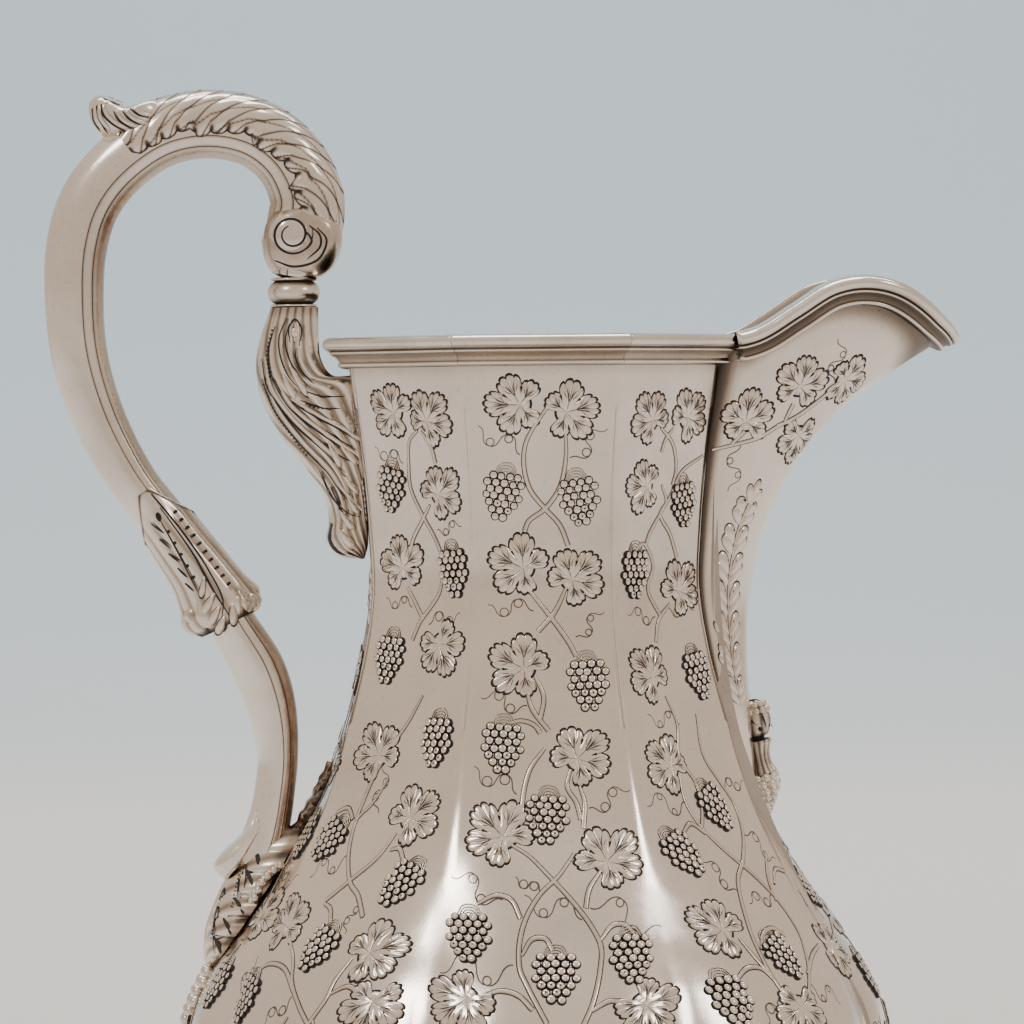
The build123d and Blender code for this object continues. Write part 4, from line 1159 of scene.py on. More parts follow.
class ScrollTube:
    """A scroll's surface: millimetres along its centre line, and an angle from its outer edge."""

    def __init__(self, stations, depth=HANDLE_DEPTH):
        self.line, _, outward = scroll_frame(stations, 0.4)
        self.outward = -outward
        self.depth = depth
        self.run = np.concatenate([[0], np.cumsum(np.linalg.norm(np.diff(self.line[:, :2], axis=0),
                                                                 axis=1))])

    def at(self, along, column, table=None):
        """One column of the centre line's table at distances along it."""
        source = self.line if table is None else table
        return np.interp(along, self.run, source[:, column])

    def along_at(self, x, z):
        """The distance along the centre line nearest to a place seen from the side."""
        distance = np.hypot(self.line[:, 0] - x, self.line[:, 1] - z)
        return float(self.run[int(distance.argmin())])

    def point(self, along, angle, lift):
        """Points round the tube, raised off it."""
        reach = (self.at(along, 2) / 2 + lift) * np.cos(angle)
        x = self.at(along, 0) + self.at(along, 0, self.outward) * reach
        z = self.at(along, 1) + self.at(along, 1, self.outward) * reach
        return np.stack([x, (self.depth / 2 + lift) * np.sin(angle), z], axis=-1)

    def depth_at(self, x, z, growth=0.0):
        """How far the tube's side stands from the mid plane at places seen from the side."""
        distance = np.hypot(np.asarray(x)[..., None] - self.line[:, 0],
                            np.asarray(z)[..., None] - self.line[:, 1])
        nearest = distance.argmin(axis=-1)
        off = np.take_along_axis(distance, nearest[..., None], axis=-1)[..., 0]
        half = self.line[nearest, 2] / 2 + growth
        return (self.depth / 2 + growth) * np.sqrt(np.clip(1 - (off / half) ** 2, 0.0, 1))


class SideSheet:
    """One side of a handle piece, laid out by reach and height as seen from the side."""

    def __init__(self, sign, depth_at):
        self.mirror = -sign
        self.sign = sign
        self.depth_at = depth_at

    def point(self, x, z, lift):
        """Points on the side, raised off it."""
        return np.stack([x + 0 * z, self.sign * (self.depth_at(x, z) + lift), z + 0 * x], axis=-1)

    def around(self, origin, right, up, lift):
        """Points to the right of and above an origin."""
        return self.point(origin[0] + right, origin[1] + up, lift)


def add_line(relief, points, width=0.34, lift=0.06, tone=0.95):
    """A tapering dark chased line through places on the sheet."""
    path = curve_through(points, 0.35)
    share = np.linspace(0, 1, len(path))[:, None]
    ahead = unit(np.gradient(path, axis=0))
    square = np.stack([ahead[:, 1], -ahead[:, 0]], axis=1)
    taper = np.sin(np.clip(share * 0.9 + 0.08, 0, 1) * math.pi) ** 0.6 + 0.1
    offsets = np.array([-0.5, 0.0, 0.5]) * width * taper
    right = path[:, 0:1] + square[:, 0:1] * offsets
    up = path[:, 1:2] + square[:, 1:2] * offsets
    lifts = np.broadcast_to(np.array([-0.06, 0.02, -0.06]) + lift, right.shape)
    mesh = relief.sheet.point(right, up, lifts)
    relief.lines.grid(mesh, np.full(right.shape, tone), flip=relief.sheet.mirror < 0)


def add_ridge(relief, points, width=1.3, height=0.5):
    """A raised rounded strand of leaf metal through places on the sheet."""
    path = curve_through(points, 0.5)
    share = np.linspace(0, 1, len(path))[:, None]
    ahead = unit(np.gradient(path, axis=0))
    square = np.stack([ahead[:, 1], -ahead[:, 0]], axis=1)
    swell = np.sin(np.clip(share * 0.92 + 0.04, 0, 1) * math.pi) ** 0.5
    across = np.array([-0.5, -0.42, -0.25, 0.0, 0.25, 0.42, 0.5])
    offsets = across * width * (0.35 + 0.65 * swell)
    right = path[:, 0:1] + square[:, 0:1] * offsets
    up = path[:, 1:2] + square[:, 1:2] * offsets
    lift = height * swell * np.sqrt(np.clip(1 - (across / 0.5) ** 2, 0, 1)) - 0.04
    mesh = relief.sheet.point(right, up, lift)
    tone = np.broadcast_to(np.array([0.85, 0.4, 0.05, 0.0, 0.05, 0.4, 0.85]), right.shape)
    relief.leaves.grid(mesh, tone, flip=relief.sheet.mirror < 0)


def add_dots(relief, points, spacing=0.85, radius=0.2, lift=0.15):
    """A row of fine punched dots through places on the sheet."""
    for place in curve_through(points, spacing):
        add_dot(relief, place, radius, lift)


def add_lobe(relief, base, tip, width, height=0.7):
    """A raised lobe of leaf from its base to its tip."""
    base, tip = np.array(base, float), np.array(tip, float)
    run = tip - base
    heading = math.degrees(math.atan2(run[0], run[1]))
    add_petal(relief, base, heading, float(np.linalg.norm(run)), width, height)


def add_beads(relief, places, radius, height=0.8):
    """Small round berries at the given places, each with painted shade on its sides and in a ring round it.
    """
    around = np.linspace(0, 2 * math.pi, 13)
    tilt = np.linspace(0, 1, 6)[:, None]
    for x, z in places:
        spread = np.sin(tilt * math.pi / 2) * radius
        points = relief.sheet.point(x + spread * np.sin(around), z + spread * np.cos(around),
                                    height * radius * np.cos(tilt * math.pi / 2) + 0.1 + 0 * around)
        # Painted shade down each berry's sides.
        relief.leaves.grid(points, 0.35 * step(0.7, 1.0, tilt) + 0 * around, flip=relief.sheet.mirror < 0)
        # Painted shadow: a dark ring round each berry.
        ring = radius * np.array([0.95, 1.1, 1.28])[:, None]
        points = relief.sheet.point(x + ring * np.sin(around), z + ring * np.cos(around),
                                    np.array([0.16, 0.12, -0.15])[:, None] + 0 * around)
        relief.lines.grid(points, np.full(points.shape[:2], 0.97), flip=relief.sheet.mirror < 0)


# The acanthus over the handle's crown: its edge runs in clusters of scallops, each deepest towards the
# thumb curl.
CROWN_SCALLOPS = 15
CROWN_CLUSTERS = 4
CROWN_LEAF_START = (-56.8, 277)
CROWN_LEAF_END = (-98.5, 299.5)
CROWN_LEAF_HALF_TURN = 1.56
# The leaf's tip, rolled back for the thumb: its outline seen from the side, and the grooves that flow
# round it.
THUMB_MIDDLE = (-102.0, 308.0)
THUMB_OUTLINE = [(-109.2, 309.5), (-108.9, 312.1), (-106.6, 313.8), (-104.0, 313.2), (-101.6, 311.7),
                 (-99.6, 311.1),
                 (-96.0, 311.7), (-92.0, 312.6), (-90.0, 310.0), (-92.5, 304.8), (-96.5, 303.6),
                 (-100.4, 303.1),
                 (-104.2, 303.1), (-106.6, 303.9), (-108.4, 306.6)]
THUMB_GROOVES = [
    [(-104.0, 311.6), (-105.6, 310.9), (-105.2, 308.5), (-102.9, 306.1), (-98.6, 303.7)],
    [(-101.2, 311.0), (-103.4, 311.9), (-105.4, 312.7)],
    [(-102.6, 309.3), (-101.6, 307.3), (-99.4, 305.7), (-96.0, 304.3)],
    [(-106.9, 310.8), (-106.6, 307.4), (-104.2, 304.0)], [(-108.1, 310.2), (-107.6, 306.9), (-106.0, 304.3)],
    
    
    
    
    
    
    
    
    
    
    
    
    [(-100.6, 309.6), (-99.0, 307.5), (-96.0, 306.0), (-92.5, 305.6)],
    [(-98.6, 310.0), (-96.5, 308.4), (-92.5, 307.6)],
]
THUMB_HALF_DEPTH = 7.0
VOLUTE_AT = (-59.1, 278.6)
VOLUTE_STRANDS = [
    [(-55.4, 279.2), (-54.2, 276.9), (-55.5, 274.8)],
    [(-52.8, 280.2), (-50.5, 277.2), (-52.6, 272.4), (-58.6, 270.6), (-63.6, 272.2)],
    [(-54.8, 280.8), (-52.2, 278.4), (-52.1, 275.6), (-55.4, 272.4)],
]
VENT_AT = (-106.7, 281.3)


def make_crown_leaf():
    """The acanthus leaf that wraps the crown of the handle, with a scalloped edge and chased strands."""
    tube = ScrollTube(UPPER_SCROLL)
    start = tube.along_at(*CROWN_LEAF_START)
    end = tube.along_at(*CROWN_LEAF_END)
    along = np.linspace(start, end, 340)[:, None]
    share = (along - start) / (end - start)
    scallops = np.abs(np.sin(share * math.pi * CROWN_SCALLOPS)) ** 0.6
    cluster = share * CROWN_CLUSTERS % 1.0
    depth = np.interp(cluster, [0.0, 0.90, 1.0], [0.0, 1.0, 0.0])
    edge = (0.34 * depth + 0.13 * scallops) * (1 - 0.5
                                               * step(0.85, 1.0, share)) - 0.2 * (1 - step(0.0, 0.25,
                                                                                           share))
    around = np.linspace(-1, 1, 81)[None, :]
    side = np.abs(around)
    rise = (1 - side ** 7) ** 0.7
    folds = 0.5 + 0.5 * np.cos(2 * math.pi * (share * CROWN_SCALLOPS - 3.2 * side ** 1.5))
    fine = 0.5 + 0.5 * np.cos(2 * math.pi * (share * 7 - 4.2 * side))
    rib = np.exp(-(around / 0.07) ** 2)
    place = share * CROWN_SCALLOPS + 0.9 * (1 - side)
    notch = np.exp(-((place - np.round(place)) / 0.13) ** 2) * step(0.84, 0.93, side)
    lift = rise * (0.95 + 0.14 * folds * step(0.1, 0.4, side) + 0.10 * fine + 0.35 * rib - 0.40 * notch)
    chased = 0.85 * (1 - folds) ** 26 + 0.65 * (1 - fine) ** 30
    tone = np.clip(chased + 0.95 * notch + 0.95 * step(0.96, 0.985, side), 0, 1)
    angle = (CROWN_LEAF_HALF_TURN + edge * side ** 3) * around
    leaf = Patchwork()
    leaf.grid(tube.point(along, angle, lift), tone, flip=True)
    return [leaf.build("crown_leaf", LEAFY)] + make_thumb_curl()


class Pillow:
    """A rounded mass given by its outline seen from the side, and by how far its sides stand out."""

    def __init__(self, middle, outline, half_depth, fullness=3.0):
        self.middle = np.array(middle)
        edge = curve_through(outline + outline[:1], 0.15) - self.middle
        turn = np.arctan2(edge[:, 1], edge[:, 0])
        order = np.argsort(turn)
        self.turns = turn[order]
        self.reaches = np.linalg.norm(edge, axis=1)[order]
        self.half_depth = half_depth
        self.fullness = fullness

    def reach(self, turn):
        """Distance from the middle to the outline in each direction."""
        return np.interp(turn, self.turns, self.reaches, period=2 * math.pi)

    def depth_at(self, x, z):
        """How far the side stands from the mid plane at places seen from the side."""
        across = np.asarray(x, float) - self.middle[0]
        up = np.asarray(z, float) - self.middle[1]
        share = np.hypot(across, up) / self.reach(np.arctan2(up, across))
        return self.half_depth * np.sqrt(np.clip(1 - share ** self.fullness, 0, 1))

    def build(self, name, material, tone=0.0, warm=0.0):
        """The mass itself, as a mesh."""
        turn = np.linspace(0, 2 * math.pi, 121)[None, :]
        share = np.sin(np.linspace(0, 1, 26) * math.pi / 2)[:, None]
        reach = self.reach(turn) * share
        x = self.middle[0] + reach * np.cos(turn)
        z = self.middle[1] + reach * np.sin(turn)
        mass = Patchwork()
        for sign in (-1, 1):
            depth = self.half_depth * np.sqrt(np.clip(1 - share ** self.fullness, 0, 1)) * sign + 0 * turn
            mass.grid(np.stack([x, depth, z], axis=-1), tone, warms=warm)
        return weld(mass.build(name, material))


def make_thumb_curl():
    """The leaf's tip, rolled back into a ribbed curl for the thumb."""
    curl = Pillow(THUMB_MIDDLE, THUMB_OUTLINE, THUMB_HALF_DEPTH)
    pieces = [curl.build("thumb_curl", LEAFY)]
    for name, sign in (("right", -1), ("left", 1)):
        relief = Relief(SideSheet(sign, curl.depth_at), 70 + sign)
        for groove in THUMB_GROOVES:
            add_ridge(relief, [(x + 0.65, z + 0.45) for x, z in groove], 1.25, 0.55)
            add_line(relief, groove, 0.5, 0.16)
        pieces += relief.build(f"thumb_{name}", LEAFY)
    return pieces


# The scroll's end, a full round form that the volutes sit on.
SCROLL_END_MIDDLE = (-56.6, 279.0)
SCROLL_END_OUTLINE = [(-66.8, 277.5), (-66.0, 272.5), (-63.8, 269.2), (-60.0, 267.8), (-53.0, 267.8),
                      (-49.0, 270.6),
                      (-46.6, 276.6), (-47.4, 281.5), (-52.0, 285.0), (-58.0, 286.6), (-64.0, 283.8)]
SCROLL_END_HALF_DEPTH = 7.3
VOLUTE_RADIUS = 6.9
VOLUTE_HALF_DEPTH = 8.1
VOLUTE_FALL = 3.6
SPIRAL_STEP = 0.26
SPIRAL_STEPS = 43
SPIRAL_START = 2.1
SPIRAL_GROWTH = 0.29
SPIRAL_HEADING = 1.95


def volute_depth(distance):
    """How far a volute's dome stands from the mid plane, by the distance from its middle."""
    return VOLUTE_HALF_DEPTH - VOLUTE_FALL * np.clip(distance / VOLUTE_RADIUS, 0, 1) ** 2.6


def volute_spiral():
    """Places along the spiral groove, from the middle of the volute outward."""
    places = []
    for index in range(SPIRAL_STEPS):
        turn = SPIRAL_STEP * index
        reach = SPIRAL_START + SPIRAL_GROWTH * turn
        heading = turn + SPIRAL_HEADING
        places.append((VOLUTE_AT[0] + reach * math.cos(heading), VOLUTE_AT[1] + reach * math.sin(heading)))
    return places


def make_volutes():
    """The volute on each side of the scroll's inner end: a domed disc with a spiral groove."""
    end = Pillow(SCROLL_END_MIDDLE, SCROLL_END_OUTLINE, SCROLL_END_HALF_DEPTH, 5.0)
    pieces = [end.build("scroll_end", CAST, 0.12, 0.30)]
    around = np.linspace(0, 2 * math.pi, 97)[None, :]
    reach = np.linspace(0, 1, 30)[:, None] * VOLUTE_RADIUS
    out = volute_depth(reach) + 0 * around
    tone = 0.3 * step(5.8, VOLUTE_RADIUS, reach) + 0 * around

    def disc_depth(x, z):
        distance = np.hypot(np.asarray(x) - VOLUTE_AT[0], np.asarray(z) - VOLUTE_AT[1])
        return np.maximum(volute_depth(distance), end.depth_at(x, z))

    for name, sign in (("right", -1), ("left", 1)):
        disc = Patchwork()
        disc.grid(np.stack([VOLUTE_AT[0] + reach * np.cos(around), sign * out,
                            VOLUTE_AT[1] + reach * np.sin(around)], axis=-1),
                  tone, warms=0.5 * step(-3.5, -5.5, reach * np.sin(around)), flip=sign > 0)
        volute = disc.build(f"volute_{name}", LEAFY)
        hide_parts(f"handle_volute_{name}")
        relief = Relief(SideSheet(sign, disc_depth), 74 + sign)
        add_line(relief, volute_spiral(), 0.62, 0.06, 1.0)
        for strand in VOLUTE_STRANDS:
            add_line(relief, strand, 0.5, 0.25)
        pieces += [volute] + relief.build(f"volute_{name}", LEAFY)
    return pieces


def make_turned(name, centre, profile, material, turns=64):
    """A turned piece about an upright line: radius, height and tarnish down its profile."""
    around = np.linspace(0, 2 * math.pi, turns + 1)[None, :-1]
    radius = np.array([row[0] for row in profile])[:, None]
    height = np.array([row[1] for row in profile])[:, None]
    tone = np.array([row[2] for row in profile])[:, None]
    piece = Patchwork()
    piece.grid(np.stack([centre[0] + radius * np.cos(around), centre[1] + radius * np.sin(around),
                         height + 0 * around], axis=-1),
               tone + 0 * around, closed=True, flip=True)
    return weld(piece.build(name, material))


KNOP_AT = (-58.8, 0.0)
KNOP_PROFILE = [(0.0, 267.3, 0.9), (4.4, 267.3, 0.95), (5.0, 267.1, 0.8), (5.6, 266.6, 0.45),
                (6.2, 265.9, 0.15),
                (6.55, 265.0, 0.05), (6.62, 264.3, 0.0), (6.5, 263.5, 0.08), (6.1, 262.7, 0.3),
                (5.5, 262.1, 0.6),
                (4.9, 261.7, 0.9), (4.4, 261.5, 0.95), (0.0, 261.5, 0.9)]


def plate_profile(low, high, radius):
    """A thin plate with a softly rounded rim."""
    middle = (low + high) / 2
    return [(0.0, high, 0.5), (radius - 0.7, high, 0.6), (radius - 0.25, high - 0.05, 0.15),
            (radius, middle, 0.05),
            (radius - 0.25, low + 0.05, 0.3), (radius - 0.7, low, 0.8), (0.0, low, 0.8)]


# The bracket's side view, as part.py has it, and the ornament on it.
BRACKET_OUTER = [(-64.7, 260.6), (-67.3, 253.4), (-68.5, 246), (-67, 237.3), (-62.4, 228.8), (-56, 220.2),
                 (-51.6, 213), (-50.8, 207), (-51.6, 202.4), (-49, 198.6), (-43, 198)]
BRACKET_INNER = [(-52.8, 260.6), (-52.8, 254.5), (-52.2, 247.6), (-49.6, 243.8), (-42.5, 243.0),
                 (-41.5, 235),
                 (-41.2, 225), (-41.0, 215), (-41.0, 206), (-41.2, 201), (-42, 198.2)]
BRACKET_HALF = 6.5
BRACKET_LINES = [
    [(-60.5, 258), (-62.5, 253.5), (-62.3, 248.5), (-60, 243), (-56.5, 239.5)],
    [(-60, 256.5), (-61, 252.5), (-60.2, 248), (-57.5, 243.5), (-55, 240.5)],
    [(-58.4, 250.5), (-58.4, 247.5), (-56.4, 244), (-54, 241.5)],
    [(-63.5, 256), (-65.3, 250), (-64.6, 244), (-62, 239.5)],
    [(-67, 248), (-65.5, 240.5), (-60, 232.5), (-52, 225), (-46.5, 219.5)],
    [(-64.5, 243), (-60.5, 236), (-53.5, 230), (-42.8, 222.5)],
    [(-60.5, 237.5), (-53, 233), (-47.5, 230), (-43.2, 227)],
    [(-67, 243), (-64.2, 235.5), (-58, 227), (-51, 219.5), (-48, 215), (-43, 209.5)],
    [(-53, 220), (-50, 213.5), (-46, 209.5), (-43, 208.5)], [(-54, 228.5), (-47.5, 223.5), (-43.3, 221.5)],
    [(-50.3, 216), (-48, 211), (-46.5, 207)], [(-56.5, 233.5), (-50, 229), (-43.5, 225)],
    [(-58, 240.5), (-52, 238.5), (-46.5, 238.5)], [(-57.5, 237.6), (-52, 235.6), (-47.5, 235.4)],
]
BRACKET_LOBES = [((-60.5, 247), (-55.5, 238.5), 2.6), ((-62, 244.5), (-58.5, 237.5), 2.6),
                 ((-51, 227.5), (-47.3, 220.5), 2.4),
                 ((-48, 226.5), (-43.2, 221.3), 2.4), ((-47.5, 219), (-43, 214), 2.2),
                 ((-46.5, 214), (-43.2, 209), 2.2),
                 ((-48.4, 210.5), (-44.5, 205), 2.4), ((-49, 206), (-44.6, 200.6), 3.0)]


def bracket_edges(share):
    """Where the bracket's outer and inner edges are at shares of the way down it."""
    outer = curve_through(BRACKET_OUTER, 0.25)
    inner = curve_through(BRACKET_INNER, 0.25)
    places = []
    for edge in (outer, inner):
        index = share * (len(edge) - 1)
        places.append(np.stack([np.interp(index, np.arange(len(edge)), edge[:, axis]) for axis in (0, 1)],
                               axis=-1))
    return places


def bracket_half_depth(across):
    """How far the bracket's side stands out, from its outer edge to its inner edge."""
    outer_round = np.sqrt(np.clip(1 - (1 - np.clip(across / 0.34, 0, 1)) ** 2, 0, 1))
    inner_round = np.sqrt(np.clip(1 - (1 - np.clip((1 - across) / 0.16, 0, 1)) ** 2, 0, 1)) * 0.25 + 0.75
    return BRACKET_HALF * outer_round * inner_round


class BracketSide:
    """Depth of the bracket's side at any place seen from the side."""

    def __init__(self):
        share, across = np.meshgrid(np.linspace(0, 1, 120), np.linspace(0, 1, 40), indexing="ij")
        outer, inner = bracket_edges(share)
        self.places = (outer + (inner - outer) * across[..., None]).reshape(-1, 2)
        self.depths = bracket_half_depth(across).reshape(-1)

    def __call__(self, x, z):
        """The depth at the nearest sampled place, blended with its neighbours."""
        x, z = np.broadcast_arrays(np.asarray(x, float), np.asarray(z, float))
        distance = np.hypot(x[..., None] - self.places[:, 0], z[..., None] - self.places[:, 1])
        nearest = np.argpartition(distance, 4, axis=-1)[..., :4]
        weights = 1 / (np.take_along_axis(distance, nearest, axis=-1) + 0.05)
        return (self.depths[nearest] * weights).sum(axis=-1) / weights.sum(axis=-1)


def make_bracket():
    """The cast acanthus bracket: flowing strands on both sides, beaded lines, lobes and a lower curl."""
    share = np.linspace(0, 1, 160)[:, None]
    across = np.linspace(0, 1, 56)[None, :]
    outer, inner = bracket_edges(share + 0 * across)
    place = outer + (inner - outer) * across[..., None]
    flow = across - 0.75 * share ** 1.3
    strands = 0.5 + 0.5 * np.cos(2 * math.pi * flow * 6.5)
    depth = bracket_half_depth(across) + 0.55 * strands * step(0.05, 0.25, across) * step(0.0, 0.08, share)
    joint = step(0.80, 0.98, across) * step(0.22, 0.34, share)
    tone = 0.45 * (1 - strands) ** 3 + 0.55 * joint + 0.35 * step(0.9, 1.0,
                                                                  share) + 0.25 * (1 - step(0.0, 0.05,
                                                                                            share))
    casting = Patchwork()
    for sign in (-1, 1):
        casting.grid(np.stack([place[..., 0], sign * depth, place[..., 1]], axis=-1), tone, flip=sign > 0)
    bracket = weld(casting.build("bracket", LEAFY))
    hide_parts("handle_bracket")
    pieces = [bracket]
    side = BracketSide()
    for name, sign in (("right", -1), ("left", 1)):
        relief = Relief(SideSheet(sign, side), 90 + sign)
        for line in BRACKET_LINES:
            add_line(relief, line, 0.36, 0.62)
        for line in BRACKET_LINES[4:8]:
            add_ridge(relief, [(x + 0.7, z + 0.5) for x, z in line], 1.5, 0.95)
        for base, tip, width in BRACKET_LOBES:
            add_lobe(relief, base, tip, width, 1.15)
        add_dots(relief, [(-64.3, 255), (-65.6, 249.5), (-65.0, 243.5)], 1.0, 0.26, 0.55)
        add_dots(relief, [(-66.6, 241.5), (-64.0, 235), (-60, 229), (-56.2, 224)], 1.0, 0.26, 0.55)
        add_dots(relief, [(-56, 236.6), (-53, 235.6), (-50, 235.4)], 1.0, 0.26, 0.55)
        add_beads(relief, [(-58.5, 254.4)], 1.3, 0.5)
        add_petal(relief, np.array([-58.5, 257.2]), 180, 5.4, 1.5, 0.2)
        add_line(relief, [(-59.9, 252), (-60.1, 255.5), (-58.5, 257.6), (-57, 255.4), (-57.6, 251)], 0.4,
                 0.7)
        add_line(relief, [(-50.2, 207), (-50.6, 202.4), (-48.6, 199.8), (-43.4, 199.2)], 0.7, 0.4)
        pieces += relief.build(f"bracket_{name}", LEAFY)
    return pieces


# The clasp over the joint of the scrolls: reach, height and width of each section.
CLASP = [(-96.6, 215.2, 11.6), (-92.6, 209.2, 13.6), (-87.4, 201.6, 14.6), (-82.6, 194.6, 16.0),
         (-79.6, 189.2, 18.4),
         (-77.4, 185.0, 19.6), (-76.0, 182.2, 14.6)]
CLASP_DEPTH = 14.4
CLASP_LINES = [
    [(-94.5, 215), (-87, 205.5), (-80.5, 195.5), (-77.2, 188), (-78, 182)],
    [(-92.2, 208), (-88, 200), (-83.5, 190.5)], [(-92.4, 211.5), (-84.5, 200), (-79, 190), (-75, 183.5)],
    [(-94.8, 207.6), (-91.6, 205)], [(-92.8, 203.6), (-89.8, 201.2)], [(-90.6, 200), (-87.8, 197.8)],
    [(-88.4, 196.4), (-86, 194)], [(-86.6, 192.6), (-84.4, 190.6)],
]
CLASP_LOBES = [((-79, 190.5), (-82.6, 184.4), 2.6), ((-77.6, 187.5), (-81.2, 181.4), 2.6),
               ((-76.6, 185), (-78.8, 179.8), 2.6),
               ((-74.8, 188.4), (-74.6, 182), 2.6), ((-73.4, 191), (-70.4, 185.2), 2.8),
               ((-81.6, 194.5), (-82.6, 189), 2.0)]


def make_clasp():
    """The leaf clasp: a sleeve of leaf with feathered barbs, punches and bulging tips."""
    tube = ScrollTube(CLASP, CLASP_DEPTH)
    length = tube.run[-1]
    along = np.linspace(0, length, 90)[:, None]
    around = np.linspace(0, 2 * math.pi, 121)[None, :]
    share = along / length
    start = 0.16 + 0.17 * np.cos(around * 2) * (1 - share)
    folds = 0.5 + 0.5 * np.cos(around * 14 + share * 3.0)
    lift = 0.35 * folds * step(0.08, 0.3, share) - 1.1 * (1 - step(start - 0.10, start, share))
    lift = lift + 0.9 * np.exp(-((share - 0.88) / 0.06) ** 2) * (0.5 + 0.5 * np.cos(around * 6))
    tone = 0.35 * (1 - folds) ** 3 * step(0.1, 0.3,
                                          share) + 0.85 * np.exp(-((share - start)
                                                                   / 0.012) ** 2) + 0.9 * step(0.95, 1.0,
                                                                                               share)
    sleeve = Patchwork()
    sleeve.grid(tube.point(along, around, lift), tone, flip=True)
    clasp = weld(sleeve.build("clasp", LEAFY))
    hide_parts("handle_mid_clasp")
    pieces = [clasp]
    bulges = Patchwork()
    for x, z, radius, half in ((-84.6, 184.6, 3.1, 6.2), (-70.6, 187.6, 3.0, 5.6)):
        turn = np.linspace(0, 2 * math.pi, 41)[None, :]
        over = np.linspace(-1, 1, 27)[:, None]
        swell = np.sqrt(np.clip(1 - np.abs(over) ** 2.6, 0, 1))
        ribs = 0.5 + 0.5 * np.cos(over * math.pi * 5)
        bulges.grid(np.stack([x + radius * swell * (0.92 + 0.08 * ribs) * np.cos(turn),
                              half * over + 0 * turn,
                              z + radius * swell * (0.92 + 0.08 * ribs) * np.sin(turn)], axis=-1),
                    0.4 * (1 - ribs) ** 2 + 0 * turn)
    pieces.append(weld(bulges.build("clasp_tips", LEAFY)))
    for name, sign in (("right", -1), ("left", 1)):
        relief = Relief(SideSheet(sign, lambda x, z: tube.depth_at(x, z, 0.3)), 100 + sign)
        for line in CLASP_LINES:
            add_line(relief, line, 0.42, 0.30)
        for base, tip, width in CLASP_LOBES:
            add_lobe(relief, base, tip, width, 0.8)
        add_dots(relief, [(-90.4, 205.5), (-87.2, 199.5), (-84.6, 194)], 2.6, 0.45, 0.32)
        add_dots(relief, [(-88.5, 210.5), (-83, 203), (-79.5, 198), (-75.6, 192.5)], 2.4, 0.42, 0.32)
        add_line(relief, [(-93.2, 210.2), (-92.4, 208)], 1.2, 0.30, 1.0)
        pieces += relief.build(f"clasp_{name}", LEAFY)
    return pieces


# The leaf that spreads down the belly from the handle's foot: height, half width and stand-out.
LOWER_LEAF = [(131, 4.5, 8.4), (126, 7.6, 9.4), (121, 9.6, 10.4), (118, 10.4, 10.6), (112, 11.2, 9.6),
              (107, 10.8, 8.0),
              (102, 8.8, 5.2), (98.4, 6.0, 2.7), (96.4, 2.4, 1.0)]
LOWER_LEAF_TOP = 131.0
LOWER_LEAF_TIP = 96.4
# The heel, where the lower scroll flares out over the leaf.
HEEL_MIDDLE = (-73.5, 125.5)
HEEL_OUTLINE = [(-66.5, 133.5), (-69.2, 136.5), (-70.7, 134.4), (-72.0, 131.6), (-73.8, 129.2),
                (-76.4, 126.9), (-78.8, 124.5),
                (-80.3, 122.3), (-80.5, 121.0), (-79.6, 119.6), (-77.6, 118.2), (-75.6, 119.6),
                (-72.6, 123.0), (-69.6, 128.0)]
HEEL_HALF_DEPTH = 6.3
LOWER_LEAF_LINES = [
    [(-69.4, 130.8), (-73.1, 123.4), (-77.6, 118.6)], [(-72.6, 122.6), (-72.4, 120), (-72.9, 117)],
    [(-74.1, 119.6), (-74.4, 117), (-74.4, 114.4)],
    [(-77.8, 117.0), (-79.6, 112.3), (-80.7, 106.2), (-80.5, 100.3)],
]
LOWER_LEAF_WEDGES = [((-72.4, 121.2), (-70.8, 117.7)), ((-75.3, 114.7), (-73.0, 110.7)),
                     ((-78.1, 109.6), (-76.2, 105.6)),
                     ((-80.5, 105.0), (-78.8, 100.6)), ((-70.2, 126.6), (-69.4, 122.6))]


